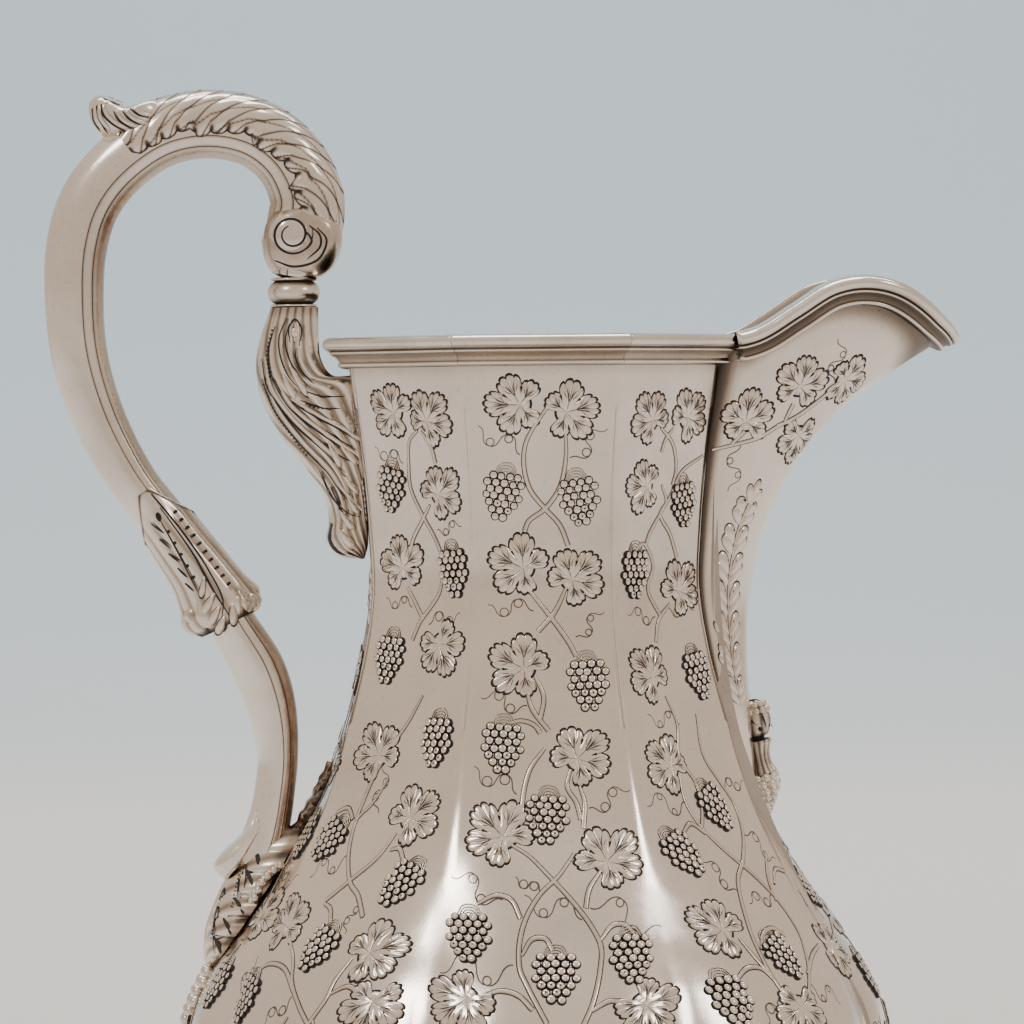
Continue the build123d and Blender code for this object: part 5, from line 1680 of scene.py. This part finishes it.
def make_lower_leaf():
    """The leaf below the handle's foot: a thick scalloped tongue on the belly, ribbed down its middle."""
    share = np.linspace(0, 1, 110)[:, None]
    around = np.linspace(-1, 1, 61)[None, :]
    heights = LOWER_LEAF_TOP - (LOWER_LEAF_TOP - LOWER_LEAF_TIP) * share
    half = smooth([(-row[0], row[1]) for row in LOWER_LEAF], -heights)
    thick = smooth([(-row[0], row[2]) for row in LOWER_LEAF], -heights)
    scallop = np.abs(np.sin(share * math.pi * 6.5)) ** 0.6
    spread = half * (0.86 + 0.17 * scallop)
    across = spread * around
    rise = thick * (1 - np.abs(around) ** 3.2) ** 0.75
    veins = 0.5 + 0.5 * np.cos(2 * math.pi * (share * 6.5 + 1.4 * np.abs(around)))
    rib = np.exp(-(around / 0.09) ** 2)
    lift = rise + (0.55 * veins * step(0.1, 0.35, np.abs(around)) + 0.8
                   * rib) * (1 - np.abs(around) ** 5) - 0.25
    reach = face_at(heights) + lift
    tone = 0.45 * (1 - veins) ** 3 * step(0.12, 0.35, np.abs(around)) + 0.30 * step(0.9, 0.99,
                                                                                    np.abs(around))
    leaf = Patchwork()
    leaf.grid(np.stack([-reach, across, heights + 0 * across], axis=-1), tone,
              warms=0.5 * step(0.93, 1.0, np.abs(around)),
              flip=True)
    piece = weld(leaf.build("lower_leaf", LEAFY))
    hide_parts("handle_lower_leaf")
    pieces = [piece]

    def side_depth(x, z):
        stand = -np.asarray(x, float) - face_at(z)
        level = -np.clip(z, LOWER_LEAF_TIP, LOWER_LEAF_TOP)
        width = smooth([(-row[0], row[1]) for row in LOWER_LEAF], level) * 0.95
        rise_at = smooth([(-row[0], row[2]) for row in LOWER_LEAF], level)
        share_out = np.clip(stand / np.maximum(rise_at, 0.5), 0.02, 1)
        return width * (1 - share_out ** 1.33) ** 0.3125

    for name, sign in (("right", -1), ("left", 1)):
        relief = Relief(SideSheet(sign, side_depth), 110 + sign)
        for line in LOWER_LEAF_LINES:
            add_line(relief, line, 0.32, 0.8)
        for top, bottom in LOWER_LEAF_WEDGES:
            add_line(relief, [top, ((top[0] + bottom[0]) / 2 + 0.2, (top[1] + bottom[1]) / 2), bottom],
                     0.95, 0.75, 0.9)
        add_dots(relief, [(-73.6, 121.8), (-74.8, 117.5), (-76.0, 112.5)], 0.9, 0.22, 0.9)
        add_dots(relief, [(-78.4, 115.5), (-80.2, 110), (-81.2, 104.5)], 0.9, 0.22, 0.9)
        pieces += relief.build(f"lower_leaf_{name}", LEAFY)
    heel = Pillow(HEEL_MIDDLE, HEEL_OUTLINE, HEEL_HALF_DEPTH, 4.0).build("heel", CAST)
    return pieces + [heel] + make_side_berries()


def make_side_berries():
    """Small berries tucked between the lower leaf and the body on each side."""
    places = []
    for sign in (-1, 1):
        for row in range(3):
            for x, z in curve_through([(-64.6, 122.0), (-67.2, 120.0), (-69.4, 117.4), (-71.0, 114.0)],
                                      1.9):
                places.append((x + 0.9 - 0.9 * row, sign * (11.6 - 1.3 * row), z + 0.8 - 0.9 * row))
    return [make_berries("side_berries", places, 1.0, LEAFY, 0.1)]


# The grapes below the leaf: how many in each row, from the top down.
LOWER_GRAPES = (3, 4, 3, 4, 3, 2)
LOWER_GRAPES_TOP = 95.2
LOWER_GRAPES_DROP = 2.35


def make_berries(name, places, radius, material, tone=0.0):
    """Round berries at the given places, with painted shade over their lower halves."""
    berries = Patchwork()
    around = np.linspace(0, 2 * math.pi, 25)[None, :]
    tilt = np.linspace(0, math.pi, 15)[:, None]
    for x, y, z in places:
        # Painted shade on the lower half of each berry.
        berries.grid(np.stack([x + radius * np.sin(tilt) * np.cos(around),
                               y + radius * np.sin(tilt) * np.sin(around),
                               z + radius * np.cos(tilt) + 0 * around], axis=-1),
                     tone + 0.25 * step(0.62, 1.0, tilt / math.pi) + 0 * around,
                     flip=True)
    return weld(berries.build(name, material))


def make_lower_grapes():
    """The bunch of grapes below the lower leaf."""
    places = []
    for row, count in enumerate(LOWER_GRAPES):
        height = LOWER_GRAPES_TOP - row * LOWER_GRAPES_DROP
        for column in range(count):
            across = (column - (count - 1) / 2) * 2.9
            places.append((-(float(face_at(height)) + 0.8 - 0.04 * across ** 2), across, height))
    grapes = make_berries("lower_grapes", places, 1.65, LEAFY, 0.05)
    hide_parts("handle_lower_grapes")
    return grapes


def make_branch():
    """The rough leafy branch on the body above the handle's lower joint."""
    pieces = []
    knots = Patchwork()
    maker = random.Random(7)
    stem = curve_through([(-(float(face_at(height)) + 0.9), height)
                          for height in (126.5, 131, 136, 141, 147)], 0.35)
    turn = np.linspace(0, 2 * math.pi, 25)[None, :]
    share = np.linspace(0, 1, len(stem))[:, None]
    thick = (1.9 - 1.0 * share) * (1 + 0.14 * np.sin(share * 40) + 0.08 * np.sin(share * 17 + 1))
    ridges = 1 + 0.10 * np.cos(turn * 5 + share * 9)
    ahead = unit(np.gradient(stem, axis=0))
    outward = np.stack([-ahead[:, 1], ahead[:, 0]], axis=1)
    x = stem[:, 0:1] + outward[:, 0:1] * thick * ridges * np.cos(turn)
    z = stem[:, 1:2] + outward[:, 1:2] * thick * ridges * np.cos(turn)
    y = 1.5 * thick * ridges * np.sin(turn)
    knots.grid(np.stack([x, y, z], axis=-1), 0.42 - 0.15 * share + 0.2 * np.cos(turn * 5 + share * 9),
               warms=0.6)
    for sign in (-1, 1):
        for height, reach, lean in ((129, 6.0, 0.0), (133, 6.6, 0.5), (137.5, 6.2, 0.2), (141.5, 5.0, 0.6)):
            cells = np.linspace(0, 1, 15)[:, None]
            width = np.linspace(-1, 1, 13)[None, :]
            out = reach * cells
            lobe = 2.5 * np.sin(np.clip(cells * 0.9 + 0.1, 0, 1) * math.pi) ** 0.6 * (1 - 0.2
                                                                                      * maker.random())
            up = height + lean + 2.5 * cells - 1.5 * cells ** 2 + lobe * width
            lift = 1.7 * (1 - cells ** 2) * (1 - width ** 2) ** 0.8
            lift = lift + 0.35 * np.cos(width * 9) * (1 - cells) + 0.1
            knots.grid(np.stack([-(face_at(up) + lift), sign * out + 0 * width, up], axis=-1),
                       0.35 + 0.4 * np.abs(width) ** 2 + 0.2 * (1 - cells), flip=sign < 0)
    branch = weld(knots.build("branch", LEAFY))
    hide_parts("handle_branch_leaf")
    pieces.append(branch)
    return pieces


def make_knop():
    """The knop between the scroll's foot and the bracket, with a thin plate above and below it."""
    names = (("knop", KNOP_PROFILE, "handle_knop"),
             ("knop_lower_plate", plate_profile(260.6, 261.5, 5.9), "handle_knop_lower_plate"),
             ("knop_upper_plate", plate_profile(267.3, 268.1, 5.8), "handle_knop_upper_plate"))
    pieces = []
    for name, profile, node in names:
        piece = make_turned(name, KNOP_AT, profile, CAST)
        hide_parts(node)
        pieces.append(piece)
    return pieces


def make_handle_ornament():
    """Every cast ornament of the handle."""
    make_knop()
    crown = make_crown_leaf()
    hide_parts("handle_top_leaf")
    pieces = crown + make_volutes() + make_bracket() + make_clasp() + make_lower_leaf() + make_branch()
    pieces.append(make_lower_grapes())


# ---- the drop under the spout --------------------------------------------------

# The drop hangs along a sloping line. Each profile is distance down it, radius and tarnish.
DROP_TOP = np.array([53.66, 160.95])
DROP_TIP = np.array([58.6, 134.0])
CALYX_PROFILE = [(0.0, 2.6, 0.4), (0.8, 3.7, 0.1), (2.4, 4.6, 0.0), (4.4, 5.0, 0.0), (6.4, 4.8, 0.05),
                 (8.0, 4.2, 0.2),
                 (9.0, 3.5, 0.7), (9.3, 2.6, 1.0), (10.3, 2.5, 1.0)]
COLLAR_PROFILE = [(9.9, 2.4, 1.0), (10.0, 3.6, 0.7), (10.3, 4.15, 0.15), (10.9, 4.2, 0.0),
                  (11.5, 3.85, 0.1), (13.4, 3.15, 0.2),
                  (15.0, 3.0, 0.2), (16.6, 3.3, 0.15), (17.6, 3.8, 0.05), (18.2, 4.1, 0.0),
                  (18.6, 4.1, 0.1), (18.9, 3.5, 0.7),
                  (19.0, 2.4, 1.0)]


def drop_point(down, radius, turn):
    """Points round the drop's sloping line; turn is 0 away from the body."""
    line = unit(DROP_TIP - DROP_TOP)
    out = np.array([-line[1], line[0]])
    x = DROP_TOP[0] + down * line[0] + radius * np.cos(turn) * out[0]
    z = DROP_TOP[1] + down * line[1] + radius * np.cos(turn) * out[1]
    return np.stack([x, radius * np.sin(turn) + 0 * x, z], axis=-1)


def drop_shell(name, profile, flutes, depth):
    """A round casting along the drop, fluted, with painted shade on the side toward the body."""
    down = np.linspace(profile[0][0], profile[-1][0], 70)
    radius = np.interp(down, [row[0] for row in profile], [row[1] for row in profile])[:, None]
    tone = np.interp(down, [row[0] for row in profile], [row[2] for row in profile])[:, None]
    turn = np.linspace(0, 2 * math.pi, 145)[None, :]
    fold = 0.5 + 0.5 * np.cos(turn * flutes)
    shape = radius * (1 - depth * (1 - fold) ** 2)
    # Painted shade on the side of the casting that faces the body.
    brown_stain_and_shade = 0.55 * step(0.9, 2.2, np.abs((turn + math.pi) % (2 * math.pi) - math.pi))
    shell = Patchwork()
    shell.grid(drop_point(down[:, None], shape, turn), np.maximum(tone, brown_stain_and_shade) + 0.45 * (1 - fold) ** 3)
    return weld(shell.build(name, LEAFY))


def make_drop():
    """The cast drop under the spout: beaded calyx, fluted collar and grape tip."""
    calyx = drop_shell("calyx", CALYX_PROFILE, 9, 0.10)
    beads = []
    for row, (down, spread, count) in enumerate(((1.2, 3.9, 15), (2.7, 4.6, 17))):
        for bead in range(count):
            point = drop_point(np.array(down + 0.0), spread, (bead + 0.5 * row) / count * 2 * math.pi)
            beads.append(tuple(point))
    calyx_beads = make_berries("calyx_beads", beads, 0.85, LEAFY, 0.1)
    punches = Patchwork()
    around = np.linspace(0, 2 * math.pi, 17)[None, :]
    reach = np.linspace(0, 1, 4)[:, None]
    for turn in (-1.25, -0.15, 0.95, 2.1, 3.2, 4.3):
        punches.grid(drop_point(7.2 + 0.62 * reach * np.cos(around), 5.02 - 0.2 * reach,
                                turn + 0.12 * reach * np.sin(around)), 1.0 + 0 * reach * around)
    lines = [((3.6, -1.75), (5.4, -1.55), (6.4, -1.28)), ((3.4, -1.0), (5.2, -0.95), (7.6, -0.80)),
             ((3.6, -0.5), (5.4, -0.42), (7.6, -0.5)), ((5.0, -2.2), (6.4, -2.0), (7.8, -1.8))]
    for line in lines:
        for shift in range(3):
            path = curve_through([(down, turn + shift * 2.1) for down, turn in line], 0.12)
            width = 0.045 * np.sin(np.linspace(0.12, 0.97, len(path)) * math.pi)[:, None]
            edges = path[:, 1:2] + width * np.array([-1.0, 0.0, 1.0])
            down = path[:, 0:1] + 0 * edges
            radius = np.interp(down, [row[0] for row in CALYX_PROFILE], [row[1] for row in CALYX_PROFILE])
            punches.grid(drop_point(down, radius + 0.08, edges), 0.95 + 0 * edges)
    marks = punches.build("calyx_marks", LEAFY)
    collar = drop_shell("fluted_collar", COLLAR_PROFILE, 15, 0.09)
    berries = []
    for row, (count, spread) in enumerate(((9, 3.1), (9, 3.3), (8, 2.7), (6, 1.9), (3, 0.9), (1, 0.0))):
        for berry in range(count):
            point = drop_point(np.array(19.6 + 1.65 * row), spread,
                               (berry + 0.5 * (row % 2)) / count * 2 * math.pi)
            berries.append(tuple(point))
    grapes = make_berries("grape_drop", berries, 1.35, LEAFY, 0.0)
    # Painted shade: a black core inside the grapes, seen in the gaps between the berries.
    shade_core = drop_shell("grape_shade_core",
                      [(18.8, 2.4, 1.0), (19.6, 3.2, 1.0), (23.6, 2.8, 1.0), (27.4, 0.8, 1.0)], 3, 0.0)
    for piece, node in ((calyx, "spout_calyx"), (collar, "spout_fluted_collar"),
                        (grapes, "spout_grape_drop")):
        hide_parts(node)


# ---- foot and hidden pieces ----------------------------------------------------

# The foot's dome: height, corner distance and face distance, up its outside.
FOOT_DOME = [(6, 53, 50.6), (8.5, 50.5, 48.8), (11.5, 44.5, 43.6), (15, 37.6, 37.2), (20, 32.6, 32.6)]
FOOT_RIM_PROFILE = [(51.2, 0.0, 0.3), (57.2, 0.0, 0.4), (57.8, 0.3, 0.2), (58.0, 0.9, 0.03),
                    (57.7, 1.7, 0.0), (57.0, 2.2, 0.35),
                    (56.9, 2.5, 0.5), (57.3, 2.9, 0.05), (57.2, 3.8, 0.0), (56.6, 4.8, 0.0),
                    (55.6, 5.6, 0.05), (54.2, 6.0, 0.3),
                    (51.2, 6.0, 0.6), (51.2, 0.0, 0.3)]
COLLAR_RING = [(27.2, 24.0, 0.5), (33.4, 24.0, 0.3), (34.4, 23.6, 0.05), (35.0, 22.6, 0.0),
               (35.0, 21.6, 0.0), (34.4, 20.5, 0.15),
               (33.4, 20.0, 0.6), (27.2, 20.0, 0.8), (27.2, 24.0, 0.5)]


def make_foot():
    """The foot: stepped eight-sided rim, domed shell with punched leaves at its corners, and collar."""
    rim = Patchwork()
    turns = []
    for side in range(SIDES):
        turns += [(side, share) for share in (-1, -0.985, -0.96, -0.9, -0.5, 0, 0.5, 0.9, 0.96, 0.985)]
    rows = []
    for corner, height, _ in FOOT_RIM_PROFILE:
        row = []
        for side, share in turns:
            face = corner * math.cos(HALF_SIDE) - 0.22 * max(0.0, (abs(share) - 0.955) / 0.045) ** 2
            heading = side * 2 * HALF_SIDE
            sideways = face * math.tan(HALF_SIDE) * share
            row.append((face * math.cos(heading) - sideways * math.sin(heading),
                        face * math.sin(heading) + sideways * math.cos(heading), height))
        rows.append(row)
    tones = np.array([[tone] * len(turns) for _, _, tone in FOOT_RIM_PROFILE])
    rim.grid(np.array(rows), tones, closed=True)
    rim_piece = weld(rim.build("foot_rim_moulding", MOULDED))
    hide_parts("foot_rim")

    dome = Patchwork()
    heights = np.linspace(6, 20, 60)[:, None]
    turn = np.linspace(0, 2 * math.pi, 361)[None, :-1]
    across = ((turn / (2 * HALF_SIDE) + 0.5) % 1) * 2 - 1
    corner = smooth([(row[0], row[1]) for row in FOOT_DOME], heights)
    face = smooth([(row[0], row[2]) for row in FOOT_DOME], heights)
    flat = face / np.cos(across * HALF_SIDE)
    radius = np.minimum(flat, corner) + (corner - flat) * np.abs(across) ** 3
    share = (heights - 6) / 14
    lobes = np.abs(np.cos(turn * 12)) ** 0.8
    leaf = step(0.10, 0.22, share) * (1 - step(0.60 + 0.18 * lobes, 0.66 + 0.18 * lobes, share))
    radius = radius + 0.75 * leaf * (0.6 + 0.4 * lobes)
    line = np.exp(-((share - 0.63 - 0.18 * lobes) / 0.025) ** 2)
    tone = 0.75 * line + 0.5 * leaf * (1 - lobes) ** 4 + 0.3 * (1 - step(0.0, 0.08, share))
    dome.grid(np.stack([radius * np.cos(turn), radius * np.sin(turn), heights + 0 * turn], axis=-1), tone,
              closed=True)
    dome_piece = thicken(weld(dome.build("foot_dome_shell", SHEET)), 1.4)
    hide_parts("foot_dome")

    collar = make_turned("foot_collar_ring", (0.0, 0.0), COLLAR_RING, MOULDED, 120)
    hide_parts("foot_collar")


def finish_cad_pieces():
    """Gives the hidden plate its finish, and paints the handle's vent hole as a disc of painted shade."""
    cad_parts["body_bottom"].data.materials.clear()
    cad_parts["body_bottom"].data.materials.append(SHEET)
    # The vent: a flat disc, black in the middle, painted shade for the hole's dark bore.
    rings = Patchwork()
    around = np.linspace(0, 2 * math.pi, 33)[None, :]
    reach = np.array([0.0, 0.5, 0.8, 0.95, 1.15])[:, None]
    lift = np.array([0.03, 0.03, 0.05, 0.10, 0.0])[:, None]
    tone = np.array([1.0, 1.0, 1.0, 0.4, 0.05])[:, None]
    tube = ScrollTube(UPPER_SCROLL)
    x = VENT_AT[0] + reach * np.cos(around)
    z = VENT_AT[1] + reach * np.sin(around)
    rings.grid(np.stack([x, -(tube.depth_at(x, z) + lift), z], axis=-1), tone + 0 * around)
    vent = rings.build("handle_vent", CAST)


# ---- stage --------------------------------------------------------------------

# The floor's and the backdrop's colour, then where the sweep curves up and how far it reaches, in metres.
FLOOR_COLOUR = (0.78, 0.77, 0.76)
BACKDROP_COLOUR = (0.50, 0.63, 0.72)
SWEEP_CURVE_AT = 1.7
SWEEP_CURVE_RADIUS = 1.1
SWEEP_TOP = 4.5
FLOOR_HALF_WIDTH = 6.0
BACKDROP_HALF_WIDTH = 1.4


def sweep_profile():
    """Depth, height and distance along the sweep, from the front of the floor to the top of the backdrop."""
    rows = [(depth, 0.0, depth) for depth in (-8.0, 0.0, 0.9, 1.2, SWEEP_CURVE_AT)]
    for degrees in range(5, 91, 5):
        angle = math.radians(degrees)
        rows.append((SWEEP_CURVE_AT + SWEEP_CURVE_RADIUS * math.sin(angle),
                     SWEEP_CURVE_RADIUS * (1 - math.cos(angle)),
                     SWEEP_CURVE_AT + SWEEP_CURVE_RADIUS * angle))
    rows.append((SWEEP_CURVE_AT + SWEEP_CURVE_RADIUS, SWEEP_TOP,
                 SWEEP_CURVE_AT + SWEEP_CURVE_RADIUS * (math.pi / 2 - 1) + SWEEP_TOP))
    return rows


def make_sweep():
    """A plain pale floor that curves up into a plain backdrop well behind the pitcher."""
    vertices = []
    paint = []
    for depth, height, along in sweep_profile():
        half_width = FLOOR_HALF_WIDTH if along < 1.0 else BACKDROP_HALF_WIDTH
        vertices += [(-half_width, depth, height), (half_width, depth, height)]
        share = float(step(0.9, SWEEP_CURVE_AT + SWEEP_CURVE_RADIUS, along))
        colour = [low + (high - low) * share for low, high in zip(FLOOR_COLOUR, BACKDROP_COLOUR)]
        paint += (colour + [1.0]) * 2
    faces = [(row, row + 1, row + 3, row + 2) for row in range(0, len(vertices) - 2, 2)]
    mesh = bpy.data.meshes.new("sweep")
    mesh.from_pydata(vertices, [], faces)
    mesh.shade_smooth()
    mesh.color_attributes.new("paint", "FLOAT_COLOR", "POINT").data.foreach_set("color", paint)
    material = bpy.data.materials.new("sweep_paint")
    material.use_nodes = True
    nodes, links = material.node_tree.nodes, material.node_tree.links
    shader = nodes["Principled BSDF"]
    shader.inputs["Roughness"].default_value = 0.9
    shader.inputs["Specular IOR Level"].default_value = 0.1
    colour_node = nodes.new("ShaderNodeAttribute")
    colour_node.attribute_name = "paint"
    links.new(colour_node.outputs["Color"], shader.inputs["Base Color"])
    mesh.materials.append(material)
    sweep = bpy.data.objects.new("sweep", mesh)
    bpy.context.scene.collection.objects.link(sweep)


def area_light(name, place, target, size, power, colour):
    """A soft rectangular light, in metres, aimed at a point."""
    data = bpy.data.lights.new(name, "AREA")
    data.shape = "RECTANGLE"
    data.size, data.size_y = size
    data.energy = power
    data.color = colour
    light = bpy.data.objects.new(name, data)
    light.location = place
    light.rotation_euler = (Vector(target) - Vector(place)).to_track_quat("-Z", "Y").to_euler()
    bpy.context.scene.collection.objects.link(light)
    return light


def make_world():
    """Soft warm light from all round, lighter overhead."""
    world = bpy.data.worlds.new("room")
    bpy.context.scene.world = world
    world.use_nodes = True
    nodes, links = world.node_tree.nodes, world.node_tree.links
    background = nodes["Background"]
    place = nodes.new("ShaderNodeTexCoord").outputs["Generated"]
    split = nodes.new("ShaderNodeSeparateXYZ")
    links.new(place, split.inputs["Vector"])
    ramp = nodes.new("ShaderNodeValToRGB")
    spread = nodes.new("ShaderNodeMapRange")
    spread.inputs["From Min"].default_value = -0.4
    spread.inputs["From Max"].default_value = 1.0
    links.new(split.outputs["Z"], spread.inputs["Value"])
    links.new(spread.outputs["Result"], ramp.inputs["Fac"])
    stops = [(0.0, (0.66, 0.56, 0.48)), (0.28, (0.74, 0.62, 0.52)), (0.75, (0.76, 0.64, 0.54)),
             (1.0, (0.86, 0.77, 0.68))]
    while len(ramp.color_ramp.elements) < len(stops):
        ramp.color_ramp.elements.new(0.5)
    for element, (position, colour) in zip(ramp.color_ramp.elements, stops):
        element.position = position
        element.color = (*colour, 1)
    links.new(ramp.outputs["Color"], background.inputs["Color"])
    background.inputs["Strength"].default_value = 1.0


# The camera stands about a metre in front, a little to the handle side, level with the neck.
CAMERA_DISTANCE = 984.5
CAMERA_TURN = math.radians(3.0)
CAMERA_HEIGHT = 237.0
CAMERA_AIM = (-5.0, 209.1)
CAMERA_ROLL = 0.0105
CAMERA_LENS = 138.4


def make_camera():
    """The camera: a long lens, almost square to the side of the pitcher."""
    data = bpy.data.cameras.new("camera")
    data.lens = CAMERA_LENS
    data.sensor_width = 36
    camera = bpy.data.objects.new("camera", data)
    bpy.context.scene.collection.objects.link(camera)
    right = Vector((math.cos(CAMERA_TURN), -math.sin(CAMERA_TURN), 0))
    forward = Vector((math.sin(CAMERA_TURN), math.cos(CAMERA_TURN), 0))
    place = -CAMERA_DISTANCE * forward + Vector((0, 0, CAMERA_HEIGHT))
    aim = CAMERA_AIM[0] * right + Vector((0, 0, CAMERA_AIM[1]))
    turn = (aim - place).to_track_quat("-Z", "Y").to_matrix().to_4x4()
    camera.matrix_world = (Matrix.Translation(place * MM) @ turn @ Matrix.Rotation(-CAMERA_ROLL, 4, "Z"))
    bpy.context.scene.camera = camera


make_camera()
make_world()
make_sweep()
area_light("key", (-1.3, -1.4, 1.9), (0, 0, 0.18), (0.5, 0.5), 8, (1.0, 0.97, 0.93))
area_light("fill", (1.6, -1.1, 1.5), (0, 0, 0.18), (0.4, 0.5), 4, (1.0, 0.98, 0.96))
area_light("top", (0.0, 0.3, 2.4), (0, 0, 0.18), (1.2, 0.8), 12, (1.0, 0.99, 0.98))
area_light("backdrop_light", (0.2, 0.9, 2.4), (0.2, 2.7, 0.5), (3.0, 0.6), 45, (1.0, 1.0, 1.0))

body = make_body()
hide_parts("body_shell")
spout = make_spout()
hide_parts("spout_shell")
make_chasing()
neck_rim = make_neck_rim()
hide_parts("neck_rim_moulding")
spout_rim = make_spout_rim()
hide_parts("spout_rim_moulding")
for scroll_name, stations in (("handle_upper_scroll", UPPER_SCROLL), ("handle_lower_scroll", LOWER_SCROLL)):
    for piece, side in zip(make_scroll(scroll_name, stations), ("right", "left")):
        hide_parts(f"{scroll_name}_{side}")

make_handle_ornament()
make_drop()
make_foot()
finish_cad_pieces()
